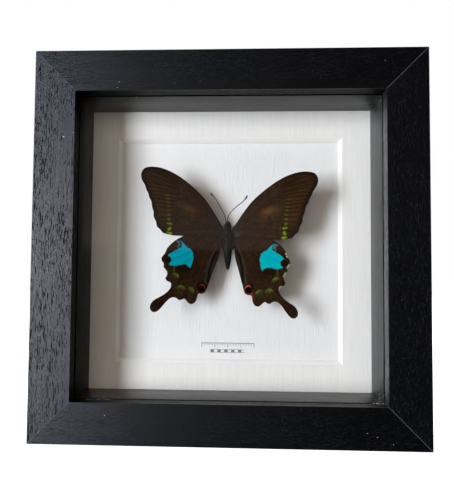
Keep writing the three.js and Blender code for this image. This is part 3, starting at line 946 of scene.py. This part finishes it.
def paint_forewing(x, z, side):
    """The forewing's marks, as one array each; some are weaker or shifted on the left wing."""
    on_right = side > 0
    vein = route_distance(x, z, FOREWING_VEINS)
    fold = route_distance(x, z, FOREWING_FOLDS)
    margin = within(x, z, FOREWING)
    outer = eased(x + 0.12 * z, 28.2, 32.8)
    nearest_line = np.minimum(vein, fold)
    outwards = 0 if on_right else 0.7
    lime = strongest(*(
        bright * patch(x, z, (across + outwards, up), (wide, high), soft=0.4)
        for across, up, wide, high, bright in LIME_SPOTS
    ))
    warm = 0.4 * patch(x, z, (21.2, 10.4), (5, 1.7), 16, 0.95)
    warm = warm + 0.32 * patch(x, z, (21.2, 9.7), (2.2, 1.1), 14, 0.9)
    warm = strongest(warm, 0.2 * patch(x, z, (18.4, 6.2), (1.7, 2), 0, 0.9))
    pale = 0.12 * faded(vein, 0.05, 0.45) * (1 - outer)
    if on_right:
        tuft = np.abs(np.sin(7 * np.arctan2(z + 3, x - 1.2)))
        pale = pale + 0.42 * tuft * patch(x, z, (2.7, -2.7), (1.9, 1.3), 35, 0.7)
    dark = strongest(
        0.8 * eased(x, 31, 35) * faded(margin, 0.6, 2.4),
        0.45 * patch(x, z, (33.7, -2), (4.2, 4), 0, 0.5),
        0.65 * faded(margin, 0.15, 0.9) * eased(z - 0.55 * x, 0.5, 3),
        0.6 * faded(margin, 0.1, 0.8),
        0.24 * faded(nearest_line, 0.1, 0.5) * outer,
    )
    return {
        "vein": vein, "fold": fold, "margin": margin, "lime": lime, "pale": pale, "dark": dark,
        "striped": eased(nearest_line, 0.25, 0.75) * outer * eased(margin, 1.6, 3.4),
        "warm": warm * (1 if on_right else 0.6),
        "olive": (0.1 if on_right else 0.05) * patch(x, z, (23.5, 8.6), (4.5, 3.2), 20, 0.9),
        "dusted": 1 - 0.75 * outer,
        "cool": strongest(faded(x + 0.4 * z, 6, 24), 0 if on_right else 0.4),
    }


CYAN_PATCH = [
    (18.5, -6.6), (20.5, -5.8), (22.2, -5.5), (23.5, -6), (24.8, -6.5), (27.6, -8.3), (29.1, -9.4),
    (30.4, -10.6), (29, -11.3), (28.1, -13), (28.4, -14.2), (29.5, -15.8), (27.1, -16.5),
    (25.1, -16.4), (23.5, -15.9), (21.8, -15.5), (20, -15.6), (19, -16.3), (17.9, -17.3),
    (17.3, -16.7), (16.8, -14.9), (16.4, -12.3), (16.3, -10.3), (16.8, -8.5), (17.6, -7.3),
]
CYAN_FLECK = [
    (20.6, -5.3), (21.9, -4.3), (23.3, -3.1), (24.6, -2.3), (25.3, -2.6), (24.4, -4.1), (24, -5.9),
    (22.4, -5.9),
]
BLUE_HOOK = [(26.6, -2.8), (25.6, -2.9), (25, -4.2), (25.5, -5.9)]
DARK_HOOK = [(24.9, -2.5), (24, -3.6), (23.7, -4.7), (24.2, -6)]
EYESPOT = {"middle": (9.7, -28.2), "outer": 2.45, "pupil": (9.95, -28.5), "size": 1.8}
EYE_STREAK = [(8.1, -30.9), (11.1, -31.2), (12.2, -29.8), (12.2, -31.8), (12.5, -33.2)]
OLIVE_STREAK = [(26.3, -16.9), (26.6, -19.8)]
INNER_FOLD = [(1.3, -3.6), (2.9, -6.5), (4.4, -9.2), (6, -16.3), (6.6, -24.4)]
FRINGE = [(31.8, -8.6), (32.3, -14.6), (30.5, -19.6), (28.2, -27.1)]


def paint_hindwing(x, z, side):
    """The hindwing's marks, as one array each; some are weaker on the left wing."""
    on_right = side > 0
    vein = route_distance(x, z, HINDWING_VEINS)
    margin = within(x, z, HINDWING)
    hook = route_distance(x, z, [DARK_HOOK])
    cyan = strongest(within(x, z, CYAN_PATCH), within(x, z, CYAN_FLECK))
    cyan = np.minimum(cyan, hook - 0.3)
    middle, pupil = EYESPOT["middle"], EYESPOT["pupil"]
    from_eye = np.hypot(x - middle[0], (z - middle[1]) / 1.12)
    from_pupil = np.hypot((x - pupil[0]) / 1.15, z - pupil[1])
    ring = strongest(EYESPOT["outer"] - from_eye, 0.42 - route_distance(x, z, [EYE_STREAK]))
    blush = strongest(
        eased(from_eye, 1.7, 2.2) * faded(x, 10, 11.4) * eased(z, -29.5, -26.5),
        0.25 * faded(z, -30.9, -30),
    )
    olive = strongest(
        0.9 * half_moon(x, z, (26, -23.2), 2.6, 122),
        0.95 * half_moon(x, z, (21.8, -29.9), 2.7, 92),
        0.9 * half_moon(x, z, (16.6, -30.4), 2.6, 128),
        0.55 * faded(route_distance(x, z, [OLIVE_STREAK]), 0.15, 0.6),
    )
    inner = route_distance(x, z, [INNER_FOLD])
    dark = strongest(
        0.95 * faded(inner, 0.3, 1.0),
        0.5 * faded(margin, 0.3, 1.4) * eased(x, 20, 26) * eased(z, -34, -28),
        0.4 * faded(-cyan, 0.2, 2.0),
        0.75 * patch(x, z, (22, -18), (5, 2.2), 5, 0.6),
        0.5 * faded(x + 0.25 * z, -3.5, 2),
        0.3 * faded(z, -10, -4) * eased(z, -26, -20) * faded(x, 24, 30),
        0.7 * patch(x, z, (30.3, -13.1), (2.2, 2.1), 0, 0.3),
        0.35 * patch(x, z, (33.1, -38.7), (3.5, 8), -35, 0.6),
        0.9 * faded(hook, 0.15, 0.5),
    )
    pale = strongest(
        0.2 * faded(np.abs(inner - 1.5), 0.2, 1.1) * eased(x, 2, 5),
        0.4 * patch(x, z, (8.8, -18.2), (0.6, 0.35), 0, 0.5),
    )
    fringe = strongest(*(patch(x, z, place, (1.2, 1.5), 0, 0.4) for place in FRINGE))
    # painted sheen: the middle of the right patch, and all of the left wing, take the darker, bluer blue
    # of a dimmer sheen
    sheen_dip = patch(x, z, (23.4, -10.9), (3.4, 3), 0, 0.7)
    return {
        "vein": vein, "fold": route_distance(x, z, HINDWING_FOLDS), "margin": margin,
        "olive": olive, "dark": dark, "pale": pale, "cyan": cyan,
        "warm": 0.1 * patch(x, z, (9.6, -12.3), (3, 4), 20, 0.7),
        "frost": 0.8 * faded(route_distance(x, z, [BLUE_HOOK]), 0.1, 0.5),
        "sheen_dip": strongest(0.5 * sheen_dip, 0 if on_right else 0.55),
        "halo": np.where(z > middle[1], 3.3 - from_eye, -1),
        "ring": ring - (0 if on_right else 0.25),
        "pupil": EYESPOT["size"] - from_pupil,
        "blush": blush * (1 if on_right else 0.35),
        "fringe": fringe * faded(margin, 0.25, 0.6) * (0.7 if on_right else 0.15),
        "dusted": np.ones(x.shape), "cool": 0.2 + 0.4 * faded(x, 8, 20),
    }


ABSENT = {"cyan": -9.0, "halo": -9.0, "ring": -9.0, "pupil": -9.0}  # any other mark is absent at 0
SCALE_MARKS = [
    "vein", "striped", "lime", "warm", "pale", "dark", "olive", "dusted", "cyan", "frost",
    "sheen_dip", "halo", "ring", "pupil", "blush", "fringe", "cool",
]


def wing_sheet(name, outline):
    """The outline as one face, cut into a fine lattice, in the hinge's own frame."""
    bm = bmesh.new()
    route = smooth_route(outline, 5, closed=True)
    bm.faces.new([bm.verts.new((p.x, 0, p.y)) for p in route])
    for axis in (0, 2):
        low = min(v.co[axis] for v in bm.verts)
        high = max(v.co[axis] for v in bm.verts)
        normal = Vector((axis == 0, 0, axis == 2))
        for place in np.arange(low + WING_CELL, high, WING_CELL):
            bmesh.ops.bisect_plane(
                bm, geom=bm.verts[:] + bm.edges[:] + bm.faces[:], dist=1e-4,
                plane_co=normal * place, plane_no=normal,
            )
    bmesh.ops.remove_doubles(bm, verts=bm.verts, dist=0.03)
    mesh = bpy.data.meshes.new(name)
    bm.to_mesh(mesh)
    bm.free()
    return mesh


def wing_relief(x, z, marks, seed):
    """How far each point stands forward of the wing's plane: ridged veins, pleats and a slow wave."""
    ridge = 0.08 * faded(marks["vein"], 0.0, 0.55)
    towards_fold = marks["vein"] / (marks["vein"] + marks["fold"] + 1e-6)
    pleat = 0.12 * np.cos(np.clip(towards_fold, 0, 1) * math.pi)
    root = eased(np.hypot(x, z), 3, 14)
    wave = 0.35 * np.sin(x * 0.16 + seed) * np.cos(z * 0.13 + 0.7 * seed)
    curl = -0.25 * faded(marks["margin"], 0, 3.5)
    return ridge + root * (pleat * 0.6 + wave + curl)


def add_wing(name, outline, paint, depth, seed):
    side, hinge, raised = WINGS[name]
    mesh = wing_sheet(name + "_membrane", outline)
    co = np.zeros(len(mesh.vertices) * 3)
    mesh.vertices.foreach_get("co", co)
    co = co.reshape(-1, 3)
    marks = paint(co[:, 0], co[:, 2], side)
    for mark in SCALE_MARKS:
        values = marks.get(mark, np.full(len(co), ABSENT.get(mark, 0.0)))
        layer = mesh.attributes.new(mark, "FLOAT", "POINT")
        layer.data.foreach_set("value", values.astype(np.float32))
    co[:, 1] = -wing_relief(co[:, 0], co[:, 2], marks, seed)
    if name == "hindwing_left":  # its outer edge is drawn a little outwards and down
        pull = patch(co[:, 0], co[:, 2], (33, -12), (8, 8), soft=0.9)
        co[:, 0] += 0.6 * pull
        co[:, 2] -= 1.0 * pull
    mesh.vertices.foreach_set("co", co.ravel())
    place = (
        Matrix.Translation((BODY_X + side * hinge[0], at_depth(depth), CENTRE_Z + hinge[1]))
        @ Matrix.Rotation(-side * math.radians(WING_RISE), 4, "Z")
        @ Matrix.Rotation(-side * math.radians(raised), 4, "Y")
        @ Matrix.Diagonal((side, 1, 1, 1))
    )
    mesh.transform(Matrix.Scale(MM, 4) @ place)
    if sum(p.normal.y * p.area for p in mesh.polygons) > 0:
        mesh.flip_normals()
    piece = settle(name + "_membrane", mesh, [WING], [name], crease=70)
    wall = piece.modifiers.new("thickness", "SOLIDIFY")
    wall.thickness = WING_THICKNESS * MM
    wall.offset = -1


for seed, wing in enumerate(WINGS):
    if wing.startswith("forewing"):
        add_wing(wing, FOREWING, paint_forewing, FOREWING_DEPTH, seed)
    else:
        add_wing(wing, HINDWING, paint_hindwing, HINDWING_DEPTH, seed)


# ---------- the body ----------

BODY_AXIS = Matrix.Translation((BODY_X, at_depth(BODY_DEPTH), CENTRE_Z))
SEGMENT = 1.35  # length of one abdominal ring
WAIST = 0
NECK = 11
TAIL_LEAN = 0.15
BODY_HAIRS = 9000
FURRED_HALF_WIDTH = 3.1  # beyond it the skin lies under the wings
WING_ROOT_HAIRS = 380  # on each wing

# Rounded parts on each side of the body: across, back and up from its axis, and half widths.
HEAD_LOBES = {
    "eye": ((1.3, -0.45, 12.5), (0.9, 0.95, 1.2)),
    "palp": ((0.45, -0.9, 14.4), (0.4, 0.55, 1.0)),
}
WING_ROOT_LOBES = {
    "forewing root": ((2.3, 0.3, 8.8), (1.3, 0.8, 2.2)),
    "hindwing root": ((2.9, 0.6, 4.2), (2.0, 0.7, 2.6)),
    "hindwing fold": ((2.8, 0.5, 1.9), (1.15, 0.6, 2.6)),
}


def body_profile():
    """The body's outline with the abdomen's rings in it."""
    heights = np.linspace(BODY_PROFILE[0][1], BODY_PROFILE[-1][1], 150)
    radii = np.interp(heights, [h for _, h in BODY_PROFILE], [r for r, _ in BODY_PROFILE])
    ring = 1 - 0.09 * np.abs(np.sin((heights - WAIST) / SEGMENT * math.pi)) ** 0.5
    radii = np.where(heights < WAIST, radii * (ring + 0.04), radii)
    radii[0] = radii[-1] = 0
    return list(zip(radii, heights))


def add_body():
    """Head, thorax and ringed abdomen, with eyes, palps and the wings' roots."""
    bm = bmesh.new()
    spun(bm, body_profile(), 40)
    lobes = [(side, part, *HEAD_LOBES[part]) for part in HEAD_LOBES for side in (-1, 1)]
    lobes += [(side, part, *WING_ROOT_LOBES[part]) for side in (-1, 1) for part in WING_ROOT_LOBES]
    for side, part, (across, back, up), radii in lobes:
        shape = Matrix.Translation((side * across, back, up)) @ Matrix.Diagonal((*radii, 1))
        verts = bmesh.ops.create_icosphere(bm, subdivisions=3, radius=1, matrix=shape)["verts"]
        for face in {f for v in verts for f in v.link_faces}:
            face.material_index = 1 if part == "eye" else 0
    for vert in bm.verts:
        vert.co.x += TAIL_LEAN * (max(0, WAIST - vert.co.z) / 12) ** 2
    mesh = mesh_of("body", bm, BODY_AXIS)
    return settle("body", mesh, [body_skin(), eye_gloss()], ["butterfly_body"], crease=60)


def hair_shape():
    """One hair: a thin bent spike of three sides, one unit long along z."""
    bm = bmesh.new()
    for low, high, wide, narrow, lean in ((0, 0.55, 1, 0.75, 0.0), (0.55, 1, 0.75, 0.08, 0.12)):
        matrix = Matrix.Translation((lean, 0, (low + high) / 2))
        bmesh.ops.create_cone(
            bm, cap_ends=False, segments=3, radius1=wide, radius2=narrow, depth=high - low, matrix=matrix,
        )
    bmesh.ops.remove_doubles(bm, verts=bm.verts, dist=0.13)
    bmesh.ops.recalc_face_normals(bm, faces=bm.faces)
    mesh = bpy.data.meshes.new("hair")
    bm.to_mesh(mesh)
    bm.free()
    return mesh


def add_hairs(name, roots, directions, lengths, thickness):
    """Many hairs as one mesh: roots and lengths in millimetres, in the frame."""
    hair = hair_shape()
    base = np.array([v.co for v in hair.vertices])
    faces = [tuple(p.vertices) for p in hair.polygons]
    directions = directions / np.linalg.norm(directions, axis=1, keepdims=True)
    beside = np.cross(directions, (0.31, 0.83, 0.46))
    beside /= np.linalg.norm(beside, axis=1, keepdims=True)
    below = np.cross(directions, beside)
    along_hair = directions * lengths[:, None]
    across, deep, up = base.T[:, None, :, None]
    points = roots[:, None, :] + across * thickness * beside[:, None, :]
    points = points + deep * thickness * below[:, None, :]
    points = points + up * along_hair[:, None, :]
    all_faces = [tuple(i + h * len(base) for i in face) for h in range(len(roots)) for face in faces]
    mesh = bpy.data.meshes.new(name)
    mesh.from_pydata((points.reshape(-1, 3) * MM).tolist(), [], all_faces)
    return settle(name, mesh, [HAIR], crease=80)


def by_place(corners):
    """Triangles in an order that only their places set, since a spin gives another on each run."""
    slant = (0.291, 0.437, 0.851)  # leans by another amount on each axis, so that corners seldom tie
    start = (corners @ slant).argmin(axis=1)[:, None, None]
    corners = np.take_along_axis(corners, (start + np.arange(3)[:, None]) % 3, axis=1)
    return corners[np.argsort(corners.sum(axis=1) @ slant)]


def scattered(piece, count, rng):
    """Random points on a piece and the normals there, in millimetres."""
    mesh = piece.data
    mesh.calc_loop_triangles()
    co = np.array([v.co for v in mesh.vertices]) / MM
    tris = by_place(co[np.array([t.vertices for t in mesh.loop_triangles])])
    a, b, c = tris[:, 0], tris[:, 1], tris[:, 2]
    normal = np.cross(b - a, c - a)
    area = np.linalg.norm(normal, axis=1)
    pick = rng.choice(len(tris), count, p=area / area.sum())
    u, v = rng.random((2, count))
    over = u + v > 1
    u, v = np.where(over, 1 - u, u)[:, None], np.where(over, 1 - v, v)[:, None]
    points = a[pick] + u * (b[pick] - a[pick]) + v * (c[pick] - a[pick])
    return points, normal[pick] / area[pick][:, None]


body = add_body()


def add_body_fur():
    """Long hair on the thorax and head, short hair on the abdomen."""
    rng = np.random.default_rng(11)
    roots, normals = scattered(body, BODY_HAIRS, rng)
    height = roots[:, 2] - CENTRE_Z
    aside = np.abs(roots[:, 0] - BODY_X)
    on_eye = (aside > 1.35) & (height > 11.5) & (height < 13.4)
    keep = ~on_eye & (rng.random(len(roots)) < np.where(height < WAIST, 0.75, 1.0))
    keep &= aside < FURRED_HALF_WIDTH
    roots, normals, height = roots[keep], normals[keep], height[keep]
    sweep = np.where(height > NECK, 0.5, -0.9)[:, None] * np.array([0, 0, 1.0])
    directions = normals * np.where(height < WAIST, 0.35, 0.75)[:, None] + sweep
    directions = directions + rng.normal(0, 0.28, directions.shape)
    lengths = np.where(height < WAIST, 0.5, np.where(height > NECK, 0.6, 0.9))
    lengths = lengths * rng.uniform(0.6, 1.25, len(roots))
    add_hairs("body_hair", roots, directions, lengths, 0.05)


def add_wing_root_fur():
    """Hair that spreads from the thorax over the roots of the wings and down the inner margins."""
    rng = np.random.default_rng(23)
    roots, directions, lengths = [], [], []
    for wing, (side, hinge, _) in WINGS.items():
        fore = wing.startswith("fore")
        depth = (FOREWING_DEPTH if fore else HINDWING_DEPTH) - 0.15
        for _ in range(WING_ROOT_HAIRS):
            out = abs(rng.normal(0, 1.1)) - 0.6
            up = rng.uniform(-4.4, 3.6 if fore else 1.0) * (0.5 + 0.5 * min(1, max(0, out) / 2))
            if not fore and rng.random() < 0.4:
                down = rng.uniform(0, 1)
                up = -2 - 20 * down
                out = 0.9 + 4.2 * down ** 1.3 + abs(rng.normal(0, 0.5))
            x = BODY_X + side * (hinge[0] + out)
            y = at_depth(depth - math.tan(math.radians(WING_RISE)) * max(out, 0))
            roots.append((x, y, CENTRE_Z + hinge[1] + up))
            downwards = 0.25 if fore else -1.0
            directions.append((side * 0.9, -0.22, downwards) + rng.normal(0, 0.22, 3))
            lengths.append(rng.uniform(0.8, 2.0))
    add_hairs(
        "wing_root_hair", np.array(roots), np.array(directions), np.array(lengths), 0.03,
    )


add_body_fur()
add_wing_root_fur()


def add_antenna(side):
    """A ringed stalk that swells into a slender club."""
    first_x = ANTENNAE[side][0][0]
    in_the_head = (BODY_X + (first_x - BODY_X) * 0.4, 14.4)
    points = [in_the_head, *ANTENNAE[side]]
    route = smooth_route([(x, at_depth(ANTENNA_DEPTH), CENTRE_Z + z) for x, z in points], 12)
    share = np.linspace(0, 1, len(route))
    rings = 0.016 * np.sin(share * math.pi * 46)
    club = 0.24 * np.exp(-(((share - 0.91) / 0.08) ** 2))
    radii = (0.25 + rings + club) * (1 - 0.7 * eased(share, 0.985, 1.0))
    bm = bmesh.new()
    tube(bm, route, radii, 10)
    mesh = mesh_of("antenna_" + side, bm)
    settle("antenna_stalk_" + side, mesh, [HORN], ["antenna_" + side])


add_antenna("left")
add_antenna("right")


def add_pin():
    """A fine steel pin with a small rolled head."""
    length = PIN["point"] - PIN["top"]
    radius, head = PIN["radius"], PIN["head"]
    bead = [(math.cos(a), math.sin(a)) for a in np.linspace(-math.pi / 2.4, math.pi / 2, 9)]
    profile = [(0, 0), (radius, PIN["tip"]), (radius, length - 2 * head)]
    profile += [(head * c, length - head + head * s) for c, s in bead[:-1]] + [(0, length)]
    bm = bmesh.new()
    spun(bm, profile, 20)
    place = Matrix.Translation((PIN["x"], at_depth(PIN["point"]), CENTRE_Z + PIN["z"]))
    mesh = mesh_of("pin", bm, place @ Matrix.Rotation(math.pi / 2, 4, "X"))
    settle("pin", mesh, [pin_steel()], ["specimen_pin"])


add_pin()


# ---------- dust ----------

# Specks on the frame's face: x, height, half length, half width, degrees of turn.
FACE_SPECKS = [
    (-60, 189.5, 0.35, 0.22, 40), (-59.1, 192.7, 0.3, 0.2, 0), (-88.8, 162.9, 0.8, 0.14, 10),
    (-83.4, 165.1, 0.28, 0.2, 60), (-49.6, 183.9, 0.3, 0.18, 20), (-55.5, 180.7, 0.28, 0.16, 0),
    (82.2, 203, 0.4, 0.2, 30), (79.5, 183.6, 0.3, 0.18, 0), (-63.9, 15.5, 0.45, 0.25, 40),
    (84.9, 3.4, 0.3, 0.2, 20), (76.9, 7, 0.3, 0.18, 0), (71.8, 8.9, 0.25, 0.18, 50),
]


LEDGE = CENTRE_Z - SIGHT
TOP_LEDGE = CENTRE_Z + SIGHT

# Heaps in the corners: number of crumbs, ranges of x, depth and height, and a crumb's radius.
CORNER_HEAPS = [
    (24, (-79, -62.5), (6.9, 7.5), (LEDGE, LEDGE + 0.3), 0.15),
    (30, (-80, -58), (10.5, 16), (LEDGE, LEDGE + 0.2), 0.12),
    (14, (76, 82.4), (7, 7.5), (LEDGE, LEDGE + 0.4), 0.2),
    (12, (80.6, 82.8), (10.5, 14), (LEDGE, LEDGE + 4), 0.16),
    (9, (78, 82.8), (10.5, 14), (TOP_LEDGE - 4, TOP_LEDGE - 0.3), 0.15),
]


def add_speck(bm, middle, radii, turn, rng):
    """One crumb: a small ball pushed out of shape."""
    turned = Matrix.Rotation(math.radians(turn), 4, "Y") @ Matrix.Diagonal((*radii, 1))
    shape = Matrix.Translation(middle) @ turned
    verts = bmesh.ops.create_icosphere(bm, subdivisions=1, radius=1, matrix=shape)["verts"]
    for vert in verts:
        vert.co = Vector(middle) + (vert.co - Vector(middle)) * rng.uniform(0.7, 1.0)


def add_dust():
    """Crumbs on the moulding's face and along the ledges in the corners."""
    rng = np.random.default_rng(5)
    bm = bmesh.new()
    for x, z, half_long, half_wide, turn in FACE_SPECKS:
        add_speck(bm, (x, at_depth(PAINT_BACK), z), (half_long, PAINT_BACK * 0.95, half_wide), turn, rng)
    for count, across, depths, up, size in CORNER_HEAPS:
        for _ in range(count):
            middle = (rng.uniform(*across), at_depth(rng.uniform(*depths)), rng.uniform(*up))
            radius = size * rng.uniform(0.5, 1.2)
            add_speck(bm, middle, (radius * 1.3, radius, radius), rng.uniform(0, 180), rng)
    settle("dust", mesh_of("dust", bm), [pale_dust()], crease=20)


add_dust()


# ---------- floor and light ----------


def white_floor():
    """A pale floor that shines a little by itself, so that it stays even around the frame."""
    floor = Recipe("white_floor")
    cloud = floor.noise((400, 400, 400), detail=2)
    tone = floor.mix(cloud, (0.86, 0.86, 0.86), (0.9, 0.9, 0.9))
    return floor.finish(
        Base_Color=tone, Roughness=0.9, Emission_Color=(1.0, 1.0, 1.0), Emission_Strength=1.0,
    )


def add_floor():
    bm = bmesh.new()
    bmesh.ops.create_grid(bm, x_segments=2, y_segments=2, size=4000)
    mesh = mesh_of("floor", bm, Matrix.Translation((0, 0, -0.1)))
    mesh.materials.append(white_floor())
    floor = bpy.data.objects.new("floor", mesh)
    bpy.context.scene.collection.objects.link(floor)
    floor.visible_glossy = False
    floor.visible_diffuse = False
    floor.visible_transmission = False
    floor.visible_shadow = False


def add_soft_light(name, place, size, power, colour=(1, 1, 1)):
    """A rectangular lamp of some watts that faces the frame's middle; places and sizes are in metres."""
    light = bpy.data.lights.new(name, "AREA")
    light.shape = "RECTANGLE"
    light.size, light.size_y = size
    light.energy = power
    light.color = colour
    lamp = bpy.data.objects.new(name, light)
    lamp.location = place
    towards = Vector((0, 0, CENTRE_Z * MM)) - Vector(place)
    lamp.rotation_euler = towards.to_track_quat("-Z", "Y").to_euler()
    lamp.visible_camera = False
    bpy.context.scene.collection.objects.link(lamp)
    return lamp


KEY_DISTANCE = 1.5
KEY_ANGLE = math.radians(38.5)  # from the frame's normal, towards the left
KEY_PLACE = (-KEY_DISTANCE * math.sin(KEY_ANGLE), -KEY_DISTANCE * math.cos(KEY_ANGLE), 0.13)
FILL_PLACE = (0.05, -1.25, 0.24)
REAR_PLACE = (1.3, 1.2, 1.1)


def add_lights():
    """A key lamp with a tall card that only shows as shine, a weak warm fill, and two lamps behind."""
    add_soft_light("key", KEY_PLACE, size=(0.46, 0.8), power=25.4, colour=(0.915, 0.955, 1.01))
    fill = add_soft_light("fill", FILL_PLACE, size=(1.1, 0.8), power=4.2, colour=(1.0, 0.85, 0.72))
    fill.visible_glossy = False
    fill.visible_transmission = False
    card = add_soft_light("tall_card", KEY_PLACE, size=(0.34, 1.8), power=27, colour=(0.84, 0.96, 1.24))
    card.visible_diffuse = False
    card.visible_transmission = False
    for side in (-1, 1):
        add_soft_light("rear", (side * REAR_PLACE[0], *REAR_PLACE[1:]), size=(1, 1), power=16)


def add_world():
    """White to the eye; for light and reflections a dim room, paler to the front, left and above."""
    world = bpy.data.worlds.new("room")
    room = Nodes(world)
    axes = room.node("SeparateXYZ", {"Vector": room.node("TexCoord").outputs["Generated"]}).outputs
    sideways = room.band(axes["X"], -0.2, 0.35, 1.0, 0.3)
    above = room.band(axes["Z"], 0.062, 0.075, 0.01, 0.18)
    overhead = room.band(axes["Z"], 0.08, 0.2, 1.0, 0.5)
    behind = room.band(axes["Y"], 0.0, 0.4, 0.0, 0.6)
    level = room.sum(room.times(sideways, above, overhead), behind)
    dim = room.node("Background", {"Color": (1, 0.8, 0.7), "Strength": level}).outputs[0]
    plain = room.node("Background", {"Color": (1, 1, 1), "Strength": 1.0}).outputs[0]
    seen = room.node("LightPath").outputs["Is Camera Ray"]
    sky = room.node("MixShader", {0: seen, 1: dim, 2: plain}).outputs[0]
    room.node("OutputWorld", {"Surface": sky})
    bpy.context.scene.world = world


add_floor()
add_lights()
add_world()
bpy.context.scene.view_settings.view_transform = "Standard"
